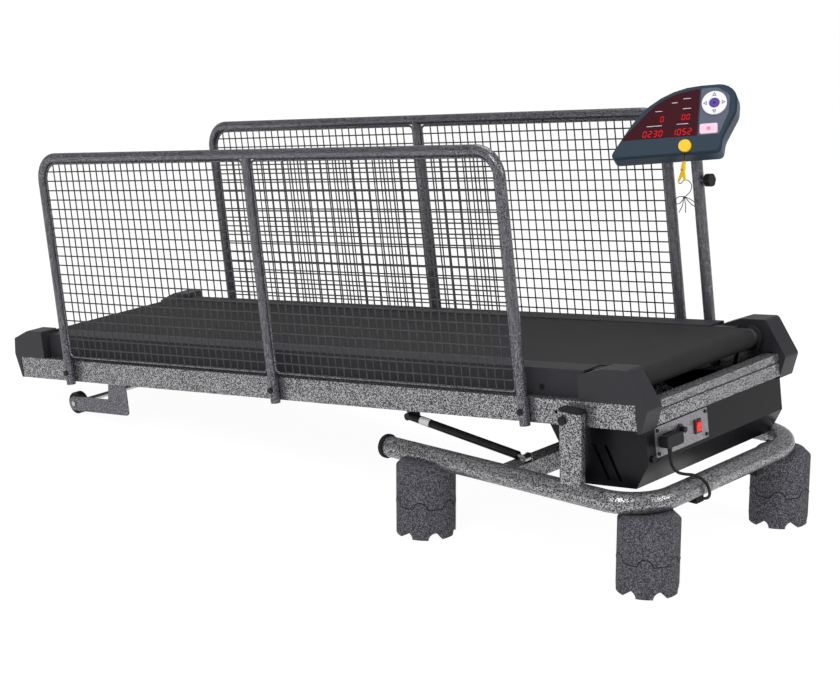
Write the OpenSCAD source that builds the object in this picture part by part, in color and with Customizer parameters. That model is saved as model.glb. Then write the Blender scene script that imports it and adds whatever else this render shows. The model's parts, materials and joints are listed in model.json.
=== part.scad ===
// Dog treadmill: a belt deck between two wire-mesh side panels, hinged on a short
// tubular base that stands on foam risers, with a console on a mast.
// The deck runs along X, the motor end is +X and Z is up.

/* [Base] */
// Outer diameter of the base tube
base_tube_d = 50; // [42:1:56]
// Wall of the base tube
base_tube_wall = 2.5; // [1.5:0.5:4]
// Height of the base tube's centre line above the floor, under the deck pivot
base_tube_h = 197; // [190:1:205]
// Centre line of a base leg, out from the rail's outer face
leg_side = 20; // [18:1:35]
// Bend radius of the base tube at its centre line
base_bend_r = 105; // [90:5:130]
// Front cross tube, measured forward from the deck pivot
base_front_x = 204; // [196:1:215]
// Slope of the base, front end up, because the bends sit higher on their risers than the legs
base_pitch = 1.5; // [0:0.1:2]
// Rear end of the legs, measured back from the deck pivot
leg_rear_x = 530; // [500:5:560]
// Square tube that ties the two legs together
base_bar_w = 44; // [36:1:48]
// Wall of the square tube
base_bar_wall = 2.5; // [1.5:0.5:4]
// Cross tie, measured back from the deck pivot
base_bar_x = 170; // [160:1:180]

/* [Uprights] */
// Width of an upright along the deck
upright_w = 60; // [50:1:70]
// Thickness of an upright across the deck
upright_t = 30; // [24:1:30]
// Wall of an upright
upright_wall = 2.5; // [1.5:0.5:4]
// Height of the pivot above the base tube's centre line
pivot_rise = 166; // [160:1:175]
// Upright above the pivot
upright_over_pivot = 20; // [16:1:24]
// Pivot bolt from the rear face of the upright
pivot_edge = 15; // [14:1:20]
// Diameter of the pivot bolt
pivot_d = 12; // [8:1:14]

/* [Risers] */
// Diameter of a foam riser
riser_d = 140; // [120:5:150]
// Height of a foam riser
riser_h = 178; // [172:1:184]
// Chamfer round the top of a riser
riser_chamfer = 14; // [6:1:20]
// Radius of the waves where the two halves lock together
riser_wave_r = 17; // [10:1:20]
// Number of waves round a riser
riser_waves = 6; // [4:2:8]
// Rear risers, measured back from the deck pivot
rear_riser_x = 410; // [380:5:450]

/* [Deck frame] */
// Incline of the deck, front end up
incline = 8; // [6:0.5:9]
// Length of the side rails
rail_l = 2116; // [2000:1:2200]
// Height of a side rail
rail_h = 57; // [50:1:60]
// Width of a side rail
rail_w = 40; // [36:1:44]
// Wall of a side rail
rail_wall = 2; // [1.5:0.5:3]
// Pivot bolt from the front end of a rail
pivot_from_front = 173; // [165:1:180]
// Pivot bolt above the rail's lower face
pivot_from_bottom = 20.5; // [18:0.5:26]
// Height of the cross members
member_h = 30; // [24:1:34]
// Width of the cross members
member_w = 40; // [30:1:50]
// Number of cross members under the deck board
members = 4; // [3:1:5]
// Height of the front cross bar
front_bar_h = 52; // [44:1:54]
// Depth of the front cross bar
front_bar_w = 30; // [26:1:34]

/* [Running deck] */
// Diameter of the rollers
roller_d = 44.4; // [40:0.2:48]
// Roller beyond each edge of the walking belt
roller_past = 6; // [4:1:10]
// Thickness of the walking belt
belt_t = 2; // [1.5:0.5:3]
// Width of the walking belt, which sets the width of the whole deck
belt_w = 424; // [380:1:460]
// Roller axis above the rail's upper face
roller_rise = 37.5; // [36:0.5:40]
// Diameter of the fixed roller axles
axle_d = 17; // [12:1:20]
// Front roller axis, forward of the deck pivot
front_roller_x = 125; // [115:1:130]
// Rear roller axis from the rear end of the rails
rear_roller_inset = 50; // [45:1:60]
// Thickness of the deck board
board_t = 18; // [15:1:20]
// Clearance between the deck board and an end cap
board_gap = 1.2; // [0.5:0.1:4]
// Clearance between the walking belt and a side trim
trim_gap = 3; // [2:0.5:8]
// Thickness of the trim's top strip
trim_top_t = 4; // [3:0.5:6]
// Trim's outer face, in from the rail's outer face
trim_inset = 25; // [20:1:28]
// Wall of the trim's skirt
trim_wall = 3; // [2:0.5:4]

/* [End caps] */
// Width of an end cap across the deck
cap_w = 55; // [53:1:58]
// Wall of an end cap
cap_wall = 3; // [2:0.5:4]
// Height of the front caps above the rail's upper face
front_cap_h = 76; // [72:1:84]
// Length of a front cap behind the rail's front end
front_cap_l = 150; // [145:1:160]
// Nose of a front cap ahead of the rail's front end
front_cap_nose = 33; // [28:1:38]
// Height of the rear caps above the rail's upper face
rear_cap_h = 76; // [72:1:84]
// Length of a rear cap ahead of the rail's rear end
rear_cap_l = 103; // [95:1:115]
// Nose of a rear cap behind the rail's rear end
rear_cap_nose = 25; // [18:1:30]

/* [Side panels] */
// Diameter of the panel tubes
panel_tube_d = 25; // [22:0.5:26]
// Wall of the panel tubes
panel_wall = 1.5; // [1:0.5:2.5]
// Distance between neighbouring posts
post_pitch = 797; // [740:1:805]
// Front post, back from the deck pivot
front_post_x = 127; // [120:1:140]
// Centre of the top tube above the rail's lower face
panel_h = 615; // [560:5:660]
// Bend radius of the top corners at the centre line
panel_bend_r = 62; // [50:1:80]
// Post below the rail's lower face
post_drop = 5; // [2:1:10]
// Diameter of the rod round each mesh
mesh_rod_d = 6; // [4:0.5:8]
// Diameter of the mesh wires
mesh_wire_d = 3.5; // [2:0.5:3.5]
// Spacing of the upright wires
mesh_pitch = 25; // [22:1:35]
// Number of level wires in a mesh
mesh_rows = 20; // [12:1:24]
// Lower edge rod above the rail's upper face
mesh_lift = 15; // [10:1:20]
// First level wire below the top tube's centre
mesh_first_row = 37; // [30:1:45]

/* [Rear wheels] */
// Diameter of a wheel
wheel_d = 60; // [50:1:64]
// Width of a wheel
wheel_w = 22; // [16:1:26]
// Wheel axis, back from the deck pivot
wheel_x = 1758; // [1700:1:1800]
// Diameter of the rod that both wheels turn on
wheel_axle_d = 14; // [10:1:16]
// Thickness of a wheel bracket
wheel_plate_t = 4; // [3:0.5:5]
// Width of the bracket's arm
wheel_arm_w = 40; // [34:1:44]
// Bracket's leg on the rail: nearest and farthest from the wheel axis
wheel_leg_near = 157; // [140:1:170]
// Width of the bracket's leg
wheel_leg_w = 68; // [50:1:80]

/* [Motor and housing] */
// Length of the housing's rim along the deck
housing_l = 267; // [262:1:270]
// Depth of the housing below the rails
housing_h = 140; // [134:1:146]
// Housing's side wall, in from the rail's outer face
housing_in = 32; // [28:1:40]
// Wall of the housing
housing_wall = 3; // [2:0.5:4]
// How far the rear wall leans in over the housing's depth
housing_rear_lean = 70; // [50:1:80]
// Height of the upright part of the front wall
housing_fold = 84; // [80:1:90]
// How far the front wall draws in below its upright part
housing_front_lean = 38; // [25:1:45]
// Diameter of the motor
motor_d = 84; // [70:1:90]
// Length of the motor
motor_l = 190; // [160:5:220]
// Diameter of the motor's pulley
motor_pulley_d = 28; // [24:1:32]
// Diameter of the front roller's pulley
roller_pulley_d = 46; // [42:1:48]
// Width of the drive belt
drive_belt_w = 12; // [8:1:14]
// Thickness of the drive belt
drive_belt_t = 3; // [2:0.5:4]

/* [Switch plate] */
// Width of the switch plate
plate_w = 200; // [194:1:210]
// Height of the switch plate
plate_h = 68; // [60:1:70]
// Thickness of the switch plate
plate_t = 2; // [1.5:0.5:3]
// Right edge of the plate, in from the housing's side wall
plate_in = 30.5; // [24:0.5:40]
// Width of the rocker switch's frame
rocker_w = 25; // [22:1:28]
// Height of the rocker switch's frame
rocker_h = 31; // [28:1:34]

/* [Mast] */
// Diameter of the mast
mast_d = 28; // [26:1:30]
// Wall of the mast
mast_wall = 2; // [1.5:0.5:3]
// Mast, back from the deck pivot
mast_x = 45; // [44:1:50]
// Top of the mast above the rail's lower face
mast_h = 512; // [480:1:516]
// Clamp knob below the top of the mast
knob_down = 62; // [50:1:80]
// Diameter of the clamp knob
knob_d = 31; // [26:1:36]

/* [Console] */
// Distance that the fin-shaped face reaches left of the mast
console_left = 195; // [180:1:200]
// Distance that the face reaches right of the mast
console_right = 114; // [110:1:120]
// Height of the face
console_h = 174; // [170:1:180]
// Thickness of the console
console_t = 45; // [42:1:50]
// Thickness of the front bezel
bezel_t = 12; // [10:1:14]
// Wall of the rear shell
shell_wall = 3; // [2:0.5:4]
// Backward tilt of the face
console_tilt = 30; // [25:1:32]
// Turn of the face towards the motor end
console_turn = 25; // [23:1:30]
// Middle of the console above the top of the mast
console_rise = 68; // [66:1:76]
// Radius of the round four-way pad
pad_r = 30; // [28:0.5:31]
// Radius of the start key
start_r = 12; // [10:0.5:13]
// Width of the stop key
stop_w = 42; // [36:1:44]
// Height of the stop key
stop_h = 25; // [22:1:26]
// Radius of the safety key
key_r = 15; // [13:0.5:16]

/* [Gas strut] */
// Diameter of the strut's cylinder
strut_d = 20; // [16:1:22]
// Diameter of the strut's rod
strut_rod_d = 10; // [8:1:11]
// Rod that shows between the lower eye and the cylinder
strut_rod_out = 12; // [8:1:20]
// Strut's axis, in from the rail's outer face
strut_in = 28; // [26:1:29]
// Lower pin, ahead of the middle of the cross tie
strut_low_ahead = 14; // [8:1:16]
// Lower pin above the cross tie
strut_low_up = 11; // [10:1:14]
// Upper stud on the deck, back from the pivot
strut_up_x = 514; // [505:1:525]
// Upper stud, below the rail
strut_up_down = 20; // [18:1:26]

/* [Cords] */
// Diameter of the power lead
lead_d = 7; // [6:0.5:8]
// Diameter of the lanyard cord
lanyard_d = 2; // [1.5:0.5:2]
// Turns in each of the coil's two layers
coil_turns = 2.5; // [1.5:1:3.5]
// Outer radius of the coil at the cord's centre
coil_r = 50; // [46:1:56]

/* [Hidden] */
$fn = 48;

// One overrun serves all cuts
overrun = 1;
// Clearance of pieces that only touch
seat_gap = 0.2;
// Radial clearance of a turning fit
run_gap = 0.05;
// Clearance between a moving key and its hole
key_gap = 0.4;
// Steps in a rounded corner
corner_steps = 6;

// Frame positions
pivot_z = base_tube_h + pivot_rise;
base_z = -pivot_rise;
floor_z = -pivot_z;
rail_low = -pivot_from_bottom;
rail_top = rail_low + rail_h;
rail_front = pivot_from_front;
rail_rear = rail_front - rail_l;

// Widths, from the belt's edge outward
pulley_rim = 2;
pulley_gap = 6;
pulley_clear = 5.2;
roller_l = belt_w + 2 * roller_past;
pulley_w = drive_belt_w + 2 * pulley_rim;
pulley_y = roller_l / 2 + pulley_gap + pulley_w / 2;
cap_in = pulley_y + pulley_w / 2 + pulley_clear;
rail_out = cap_in + cap_w - seat_gap;
rail_in = rail_out - rail_w;
deck_w = 2 * rail_out;
board_w = 2 * (cap_in - board_gap);
housing_w = deck_w - 2 * housing_in;
leg_y = rail_out + leg_side;
strut_y = rail_out - strut_in;
rear_nose_share = 0.12;
rear_nose_z = rail_top + rear_cap_h * rear_nose_share;
right_riser_turn = 30;
left_riser_turn = 45;

// Running deck levels
roller_z = rail_top + roller_rise;
belt_gap = 0.3;
belt_in_r = roller_d / 2 + belt_gap;
belt_out_r = belt_in_r + belt_t;
rear_roller_x = rail_rear + rear_roller_inset;
board_top = roller_z + belt_in_r - belt_gap;
board_low = board_top - board_t;
board_end_gap = 12;
trim_top = board_top + trim_top_t;
trim_out = rail_out - trim_inset;
trim_in = belt_w / 2 + trim_gap;
trim_front = rail_front - front_cap_l - seat_gap;
trim_rear = rail_rear + rear_cap_l + seat_gap;
member_inset = 250;
member_back = 80;
member_first = rail_rear + member_inset;
member_last = -member_back;

// Panel positions
panel_y = rail_out + panel_tube_d / 2 + seat_gap;
panel_top = rail_low + panel_h;
post_x = [-front_post_x, -front_post_x - post_pitch, -front_post_x - 2 * post_pitch];
rod_in = panel_tube_d / 2 + mesh_rod_d / 2 + seat_gap;
mesh_low = rail_top + mesh_lift;
mesh_top = panel_top - rod_in;
mesh_row_pitch = (panel_top - mesh_first_row - mesh_low) / mesh_rows;
mesh_corner_r = 12;
weld_gap = 0.1;

// Rear wheels stand on the floor
wheel_z = (wheel_d / 2 + floor_z + wheel_x * sin(incline)) / cos(incline);
wheel_plate_in = 17;
wheel_gap = 1.5;
wheel_plate_y = rail_out - wheel_plate_in;
wheel_y = wheel_plate_y - wheel_plate_t - wheel_w / 2 - wheel_gap;

// Housing outline
housing_top = rail_low - seat_gap;
housing_back = 2;
housing_front = rail_front - housing_back;
housing_rear = housing_front - housing_l;
motor_x = 52;
motor_down = 70;
motor_z = rail_low - motor_down;

// Mast and console
mast_y = rail_out + mast_d / 2 + seat_gap;
mast_top = rail_low + mast_h;
knob_z = mast_top - knob_down;
console_z = mast_top + console_rise;
face_ahead = 55;
post_d = mast_d - 2 * mast_wall - 2 * run_gap;
boss_gap = 15;
boss_low = mast_top + boss_gap;
boss_d = 36;
boss_deep = 36;
post_top = boss_low + boss_deep;

// Strut geometry in the upright plane of its pins
strut_low_x = base_bar_x - strut_low_ahead;
strut_low_z = -base_z - base_bar_w / 2 - strut_low_up;
strut_up_z = strut_up_down - rail_low;
strut_up = [
    -strut_up_x * cos(incline) + strut_up_z * sin(incline),
    -strut_up_x * sin(incline) - strut_up_z * cos(incline)
];
strut_low = [
    -strut_low_x * cos(base_pitch) + strut_low_z * sin(base_pitch),
    -strut_low_x * sin(base_pitch) - strut_low_z * cos(base_pitch)
];
strut_len = norm(strut_up - strut_low);
strut_angle = atan2(strut_up[1] - strut_low[1], strut_up[0] - strut_low[0]);
strut_pin_d = 8;
strut_eye_d = 18;

// General shapes

function unit(v) = v / norm(v);

// Points of one rounded corner b between its neighbours a and c
function corner(a, b, c, r) =
    let (u = unit(a - b), v = unit(c - b), half = acos(u * v) / 2)
    let (centre = b + unit(u + v) * r / sin(half))
    let (from = b + u * r / tan(half) - centre, to = b + v * r / tan(half) - centre)
    let (start = atan2(from[1], from[0]), turn = atan2(to[1], to[0]) - start)
    let (sweep = turn > 180 ? turn - 360 : turn < -180 ? turn + 360 : turn)
    [for (i = [0:corner_steps]) centre + r * [cos(start + sweep * i / corner_steps),
                                              sin(start + sweep * i / corner_steps)]];

// Outline through corners given as [x, y, radius]
function rounded(points) =
    let (n = len(points))
    [for (i = [0:n - 1])
        let (a = points[(i + n - 1) % n], b = points[i], c = points[(i + 1) % n])
        each (b[2] > 0
            ? corner([a[0], a[1]], [b[0], b[1]], [c[0], c[1]], b[2])
            : [[b[0], b[1]]])];

// A child drawn in X and Z, extruded from y0 to y1
module along_y(y0, y1) {
    translate([0, y1, 0]) rotate([90, 0, 0]) linear_extrude(height = y1 - y0) children();
}

// A round bar along Y
module rod_y(d, y0, y1) {
    translate([0, y1, 0]) rotate([90, 0, 0]) cylinder(d = d, h = y1 - y0);
}

// A round bar along X
module rod_x(d, x0, x1) {
    translate([x0, 0, 0]) rotate([0, 90, 0]) cylinder(d = d, h = x1 - x0);
}

module box(low, high) {
    translate(low) cube(high - low);
}

// The right-hand child and its mirror image on the left
module pair() {
    children();
    mirror([0, 1, 0]) children();
}

// Frame of the base: origin on the pivot axis, level
module on_base() {
    translate([pivot_x, 0, pivot_z]) children();
}

// Frame of the base tube and what is welded to it
module on_frame() {
    on_base() rotate([0, -base_pitch, 0]) children();
}

// Frame of the deck: origin on the pivot axis, X along the rails
module on_deck() {
    on_base() rotate([0, -incline, 0]) children();
}

// Tube along a list of points: rings carried without twist from one to the next
function tangents(p) =
    let (n = len(p))
    [for (i = [0:n - 1]) unit(p[min(i + 1, n - 1)] - p[max(i - 1, 0)])];

function side_of(t, hint) = unit(hint - t * (hint * t));

function carried(t, i, hint) =
    i == 0 ? [side_of(t[0], hint)]
    : let (before = carried(t, i - 1, hint)) concat(before, [side_of(t[i], before[i - 1])]);

module tube(p, d, sides, hint) {
    t = tangents(p);
    n = len(p);
    u = carried(t, n - 1, hint);
    rings = [for (i = [0:n - 1]) let (w = cross(t[i], u[i])) for (k = [0:sides - 1])
        p[i] + d / 2 * (u[i] * cos(360 * k / sides) + w * sin(360 * k / sides))];
    walls = [for (i = [0:n - 2]) for (k = [0:sides - 1])
        let (a = i * sides + k, b = i * sides + (k + 1) % sides)
        each [[a, a + sides, b], [b, a + sides, b + sides]]];
    first = [for (k = [1:sides - 2]) [0, k, k + 1]];
    last = [for (k = [1:sides - 2]) [(n - 1) * sides, (n - 1) * sides + k + 1, (n - 1) * sides + k]];
    polyhedron(points = rings, faces = concat(walls, first, last));
}

// Smooth points through hand-chosen ones, steps between each two
function spline(p, steps) =
    let (n = len(p))
    concat(
        [for (i = [0:n - 2]) for (s = [0:steps - 1])
            let (a = p[max(i - 1, 0)], b = p[i], c = p[i + 1], e = p[min(i + 2, n - 1)], x = s / steps)
            ((2 * b) + (c - a) * x + (2 * a - 5 * b + 4 * c - e) * x * x
                + (3 * b - a - 3 * c + e) * x * x * x) / 2],
        [p[n - 1]]);

// Base

module base_run(d, past) {
    pair() translate([0, -leg_y, base_z]) rod_x(d, -leg_rear_x - past, base_front_x - base_bend_r);
    pair() translate([base_front_x - base_bend_r, base_bend_r - leg_y, base_z])
        rotate([0, 0, -90]) rotate_extrude(angle = 90) translate([base_bend_r, 0]) circle(d = d);
    translate([base_front_x, 0, base_z]) rod_y(d, base_bend_r - leg_y, leg_y - base_bend_r);
}

module base_frame() {
    color("dimgray") on_frame() difference() {
        base_run(base_tube_d, 0);
        base_run(base_tube_d - 2 * base_tube_wall, overrun);
    }
}

strut_lug_t = 4;
strut_lug_y = rail_in + seat_gap;
strut_lug_w = 40;

module base_crossbar() {
    color("dimgray") on_frame() difference() {
        union() {
            translate([-base_bar_x, 0, base_z]) difference() {
                cube([base_bar_w, 2 * leg_y, base_bar_w], center = true);
                cube([base_bar_w - 2 * base_bar_wall, 2 * leg_y + overrun, base_bar_w - 2 * base_bar_wall],
                     center = true);
            }
            // Lug and pin of the strut
            along_y(-strut_lug_y, strut_lug_t - strut_lug_y) polygon(rounded([
                [-base_bar_x - strut_eye_d / 2, base_z, 0],
                [-base_bar_x + base_bar_w / 2, base_z, 0],
                [-strut_low_x + strut_eye_d / 2, -strut_low_z + strut_eye_d / 2, strut_eye_d / 3],
                [-strut_low_x - strut_eye_d / 2, -strut_low_z + strut_eye_d / 2, strut_eye_d / 3]]));
            translate([-strut_low_x, 0, -strut_low_z])
                rod_y(strut_pin_d, -strut_y - strut_eye_d / 2, strut_lug_t / 2 - strut_lug_y);
        }
        pair() translate([0, -leg_y, base_z])
            rod_x(base_tube_d + 2 * seat_gap, -leg_rear_x, base_front_x - base_bend_r);
    }
}

upright_rear = -pivot_edge;
upright_front = upright_rear + upright_w;
upright_in = leg_y - upright_t / 2;
upright_out = leg_y + upright_t / 2;

// Section of an upright: a tube with well rounded corners
upright_round = 11;

module upright_outline(inset) {
    polygon(rounded([
        [upright_rear + inset, inset - upright_out, upright_round - inset],
        [upright_front - inset, inset - upright_out, upright_round - inset],
        [upright_front - inset, -upright_in - inset, upright_round - inset],
        [upright_rear + inset, -upright_in - inset, upright_round - inset]]));
}

module uprights() {
    color("dimgray") on_frame() pair() difference() {
        translate([0, 0, base_z]) linear_extrude(height = upright_over_pivot - base_z) upright_outline(0);
        translate([0, 0, base_z - overrun]) linear_extrude(height = upright_over_pivot - base_z + 2 * overrun)
            upright_outline(upright_wall);
        translate([0, -leg_y, base_z]) rod_x(base_tube_d + 2 * seat_gap, -leg_rear_x, leg_rear_x);
        rod_y(pivot_d + 2 * run_gap, -upright_out - overrun, overrun - upright_in);
    }
}

cap_lip = 2;
end_lip = 4;
end_round = 10;
cap_plate = 5;
cap_plug = 16;
pad_size = [28, 28, 20];
pad_y = 122;

module base_caps_and_pads() {
    color("black") on_frame() {
        pair() {
            translate([0, 0, upright_over_pivot]) linear_extrude(height = cap_plate) upright_outline(-cap_lip);
            translate([0, 0, pivot_d]) linear_extrude(height = upright_over_pivot - pivot_d)
                upright_outline(upright_wall + seat_gap);
        }
        pair() translate([-leg_rear_x, -leg_y, base_z]) {
            rotate([0, -90, 0]) rotate_extrude() polygon(rounded([
                [0, 0, 0], [base_tube_d / 2 + end_lip, 0, 0],
                [base_tube_d / 2 + end_lip, cap_plug, end_round], [0, cap_plug, 0]]));
            rod_x(base_tube_d - 2 * base_tube_wall - 2 * seat_gap, -cap_lip, cap_plug);
        }
        pair() difference() {
            translate([base_front_x, -pad_y, base_z - base_tube_d / 2])
                cube(pad_size, center = true);
            base_run(base_tube_d + 2 * seat_gap, 0);
        }
    }
}

// Foam risers

bend_at = [base_front_x - base_bend_r, leg_y - base_bend_r];
riser_places = [
    [-rear_riser_x, -leg_y], [-rear_riser_x, leg_y],
    [bend_at[0] + base_bend_r * cos(right_riser_turn), -bend_at[1] - base_bend_r * sin(right_riser_turn)],
    [bend_at[0] + base_bend_r * cos(left_riser_turn), bend_at[1] + base_bend_r * sin(left_riser_turn)]
];
split_share = 0.42;
riser_split = riser_h * split_share;

module riser_wave_bars(r) {
    for (i = [0:riser_waves / 2 - 1])
        rotate([0, 0, i * 360 / riser_waves]) rod_y(2 * r, -riser_d, riser_d);
}

module riser_bottoms() {
    color("gray") on_base() for (p = riser_places) translate([p[0], p[1], floor_z]) difference() {
        union() {
            cylinder(d = riser_d, h = riser_split);
            intersection() {
                translate([0, 0, riser_split]) riser_wave_bars(riser_wave_r);
                cylinder(d = riser_d, h = riser_h);
            }
        }
        riser_wave_bars(riser_wave_r);
    }
}

module riser_tops() {
    color("gray") on_base() difference() {
        for (p = riser_places) translate([p[0], p[1], floor_z]) difference() {
            union() {
                translate([0, 0, riser_split + seat_gap])
                    cylinder(d = riser_d, h = riser_h - riser_split - riser_chamfer - seat_gap);
                translate([0, 0, riser_h - riser_chamfer])
                    cylinder(d1 = riser_d, d2 = riser_d - 2 * riser_chamfer, h = riser_chamfer);
            }
            translate([0, 0, riser_split]) riser_wave_bars(riser_wave_r + seat_gap);
        }
        rotate([0, -base_pitch, 0]) base_run(base_tube_d + 2 * seat_gap, 0);
    }
}

bolt_head_h = 6;
bolt_head_share = 1.7;

module pivot_bolts() {
    color("black") on_frame() pair() {
        rod_y(pivot_d, -upright_out - overrun, bolt_head_h - rail_in);
        rod_y(pivot_d * bolt_head_share, -upright_out - seat_gap - bolt_head_h, -upright_out - seat_gap);
        rod_y(pivot_d * bolt_head_share, -upright_in + seat_gap, -rail_out - seat_gap);
        rod_y(pivot_d * bolt_head_share, seat_gap - rail_in, bolt_head_h - rail_in);
    }
}

// Gas strut, with its axis along X from the lower pin to the upper stud

module on_strut() {
    on_base() translate([strut_low[0], -strut_y, strut_low[1]]) rotate([0, -strut_angle, 0]) children();
}

strut_wall = 1.5;
strut_gland_l = 12;
strut_from = strut_eye_d / 2 + strut_rod_out;
strut_bore_end = strut_len - strut_eye_d;

module strut_rod() {
    color("silver") on_strut() difference() {
        union() {
            rod_x(strut_rod_d, 0, strut_bore_end - overrun);
            rod_y(strut_eye_d, -strut_d / 2, strut_d / 2);
            rod_x(strut_d - 2 * strut_wall - 2 * run_gap, strut_bore_end - strut_gland_l, strut_bore_end - overrun);
        }
        rod_y(strut_pin_d + 2 * run_gap, -strut_d, strut_d);
    }
}

module strut_cylinder() {
    color("black") on_strut() {
        difference() {
            rod_x(strut_d, strut_from, strut_len);
            rod_x(strut_d - 2 * strut_wall, strut_from + strut_gland_l, strut_bore_end);
            rod_x(strut_rod_d + 2 * run_gap, strut_from - overrun, strut_from + strut_gland_l + overrun);
        }
        translate([strut_len, 0, 0]) {
            rod_y(strut_eye_d, -strut_d / 2, strut_d / 2);
            rod_y(strut_pin_d, 0, strut_y - strut_lug_y - 2 * seat_gap);
        }
    }
}

// Deck frame

module side_rails() {
    color("dimgray") on_deck() pair() difference() {
        box([rail_rear, -rail_out, rail_low], [rail_front, -rail_in, rail_top]);
        box([rail_rear - overrun, rail_wall - rail_out, rail_low + rail_wall],
            [rail_front + overrun, -rail_in - rail_wall, rail_top - rail_wall]);
        rod_y(pivot_d + 2 * run_gap, -rail_out - overrun, overrun - rail_in);
        for (x = concat(post_x, [-mast_x])) translate([x, 0, post_bolt_z])
            rod_y(post_bolt_d + 2 * seat_gap, -rail_out - overrun, overrun - rail_in);
    }
}

front_bar_proud = 14;
front_bar_lift = 1.5;
front_bar_x = rail_front + front_bar_proud;
front_bar_low = rail_low + front_bar_lift;
front_bar_groove = 5;
front_bar_end = 23;

module front_crossbar() {
    color("dimgray") on_deck() difference() {
        union() {
            box([front_bar_x - front_bar_w, seat_gap - cap_in, front_bar_low],
                [front_bar_x, cap_in - seat_gap, front_bar_low + front_bar_h]);
            box([rail_front - front_bar_end, seat_gap - rail_in, front_bar_low],
                [rail_front, rail_in - seat_gap, front_bar_low + front_bar_h]);
        }
        box([front_bar_x - front_bar_w + rail_wall, -rail_in, front_bar_low + rail_wall],
            [front_bar_x - front_bar_groove - rail_wall, rail_in, front_bar_low + front_bar_h - rail_wall]);
        box([front_bar_x - front_bar_groove, -rail_in, front_bar_low + front_bar_h * groove_low_share],
            [front_bar_x + overrun, rail_in, front_bar_low + front_bar_h * groove_high_share]);
    }
}

groove_low_share = 0.58;
groove_high_share = 0.66;

function member_x(i) = member_first + (member_last - member_first) * i / (members - 1);

module deck_crossmembers() {
    color("dimgray") on_deck() for (i = [0:members - 1]) translate([member_x(i), 0, 0]) difference() {
        box([-member_w / 2, seat_gap - rail_in, rail_top - member_h],
            [member_w / 2, rail_in - seat_gap, rail_top]);
        box([rail_wall - member_w / 2, -rail_in, rail_top - member_h + rail_wall],
            [member_w / 2 - rail_wall, rail_in, rail_top - rail_wall]);
    }
}

cushion_gap = 4;
cushion_d = (board_w - belt_w) / 2 - 2 * cushion_gap;
cushion_y = (belt_w + board_w) / 4;

module deck_cushions() {
    color("black") on_deck() for (i = [0:members - 1]) pair()
        translate([member_x(i), -cushion_y, rail_top]) cylinder(d = cushion_d, h = board_low - rail_top);
}

module deck_board() {
    color("saddlebrown") on_deck()
        box([rear_roller_x + belt_out_r + board_end_gap, -board_w / 2, board_low],
            [front_roller_x - belt_out_r - board_end_gap, board_w / 2, board_top]);
}

trim_bevel = 3;

module side_trims() {
    color("gray") on_deck() pair() translate([trim_rear, 0, 0]) rotate([90, 0, 90])
        linear_extrude(height = trim_front - trim_rear) polygon(rounded([
            [-trim_out, rail_top, 0],
            [-trim_out, trim_top, trim_bevel],
            [-trim_in, trim_top, trim_bevel / 2],
            [-trim_in, board_top, 0],
            [-trim_out + trim_wall, board_top, 0],
            [-trim_out + trim_wall, rail_top, 0]]));
}

bracket_t = 6;
bracket_out = 8;
bracket_y = rail_in + bracket_out;
bracket_w = 40;
bracket_over = 14;
motor_plate_t = 5;
motor_plate_w = 70;
strut_deck_lug_h = 30;

module roller_bracket(x) {
    along_y(-bracket_y - bracket_t, -bracket_y) polygon(rounded([
        [x - bracket_w / 2, rail_top, 0],
        [x + bracket_w / 2, rail_top, 0],
        [x + bracket_w / 2, roller_z + bracket_over, bracket_over],
        [x - bracket_w / 2, roller_z + bracket_over, bracket_over]]));
}

module deck_brackets() {
    color("dimgray") on_deck() {
        pair() for (x = [front_roller_x, rear_roller_x]) difference() {
            roller_bracket(x);
            translate([x, 0, roller_z]) rod_y(axle_d + 2 * seat_gap, -rail_out, -rail_in);
        }
        along_y(-motor_plate_w / 2, motor_plate_w / 2) difference() {
            polygon([
                [member_last + member_w / 2 + seat_gap, rail_top - motor_plate_t],
                [motor_x + motor_d / 2 + motor_plate_t, motor_saddle_top],
                [motor_x + motor_d / 2 + motor_plate_t, motor_z],
                [motor_x - motor_d / 2 - motor_plate_t, motor_z],
                [motor_x - motor_d / 2 - motor_plate_t, motor_saddle_top - motor_plate_t],
                [member_last + member_w / 2 + seat_gap, rail_top - member_h]]);
            translate([motor_x, motor_z]) circle(d = motor_d + 2 * seat_gap);
        }
        along_y(-strut_lug_y + seat_gap, strut_lug_t - strut_lug_y + seat_gap) polygon(rounded([
            [-strut_up_x - strut_lug_w / 2, rail_low + strut_deck_lug_h, 0],
            [-strut_up_x - strut_lug_w / 2, -strut_up_z - strut_eye_d / 2, strut_eye_d / 3],
            [-strut_up_x + strut_lug_w / 2, -strut_up_z - strut_eye_d / 2, strut_eye_d / 3],
            [-strut_up_x + strut_lug_w / 2, rail_low + strut_deck_lug_h, 0]]));
    }
}

saddle_over = 12;
motor_saddle_top = motor_z + motor_d / 2 + saddle_over;
axle_past = 2;

module deck_axles() {
    color("silver") on_deck() {
        for (x = [front_roller_x, rear_roller_x]) translate([x, 0, roller_z])
            rod_y(axle_d, -bracket_y - bracket_t - axle_past, bracket_y + bracket_t + axle_past);
        translate([-wheel_x, 0, wheel_z])
            rod_y(wheel_axle_d, -wheel_plate_y - 2 * axle_past, wheel_plate_y + 2 * axle_past);
    }
}

module belt_outline(r) {
    translate([front_roller_x, roller_z]) circle(r = r);
    translate([rear_roller_x, roller_z]) circle(r = r);
    translate([rear_roller_x, roller_z - r]) square([front_roller_x - rear_roller_x, 2 * r]);
}

module walking_belt() {
    color("darkslategray") on_deck() along_y(-belt_w / 2, belt_w / 2) difference() {
        belt_outline(belt_out_r);
        belt_outline(belt_in_r);
    }
}

roller_wall = 3;
bearing_t = 12;

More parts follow.
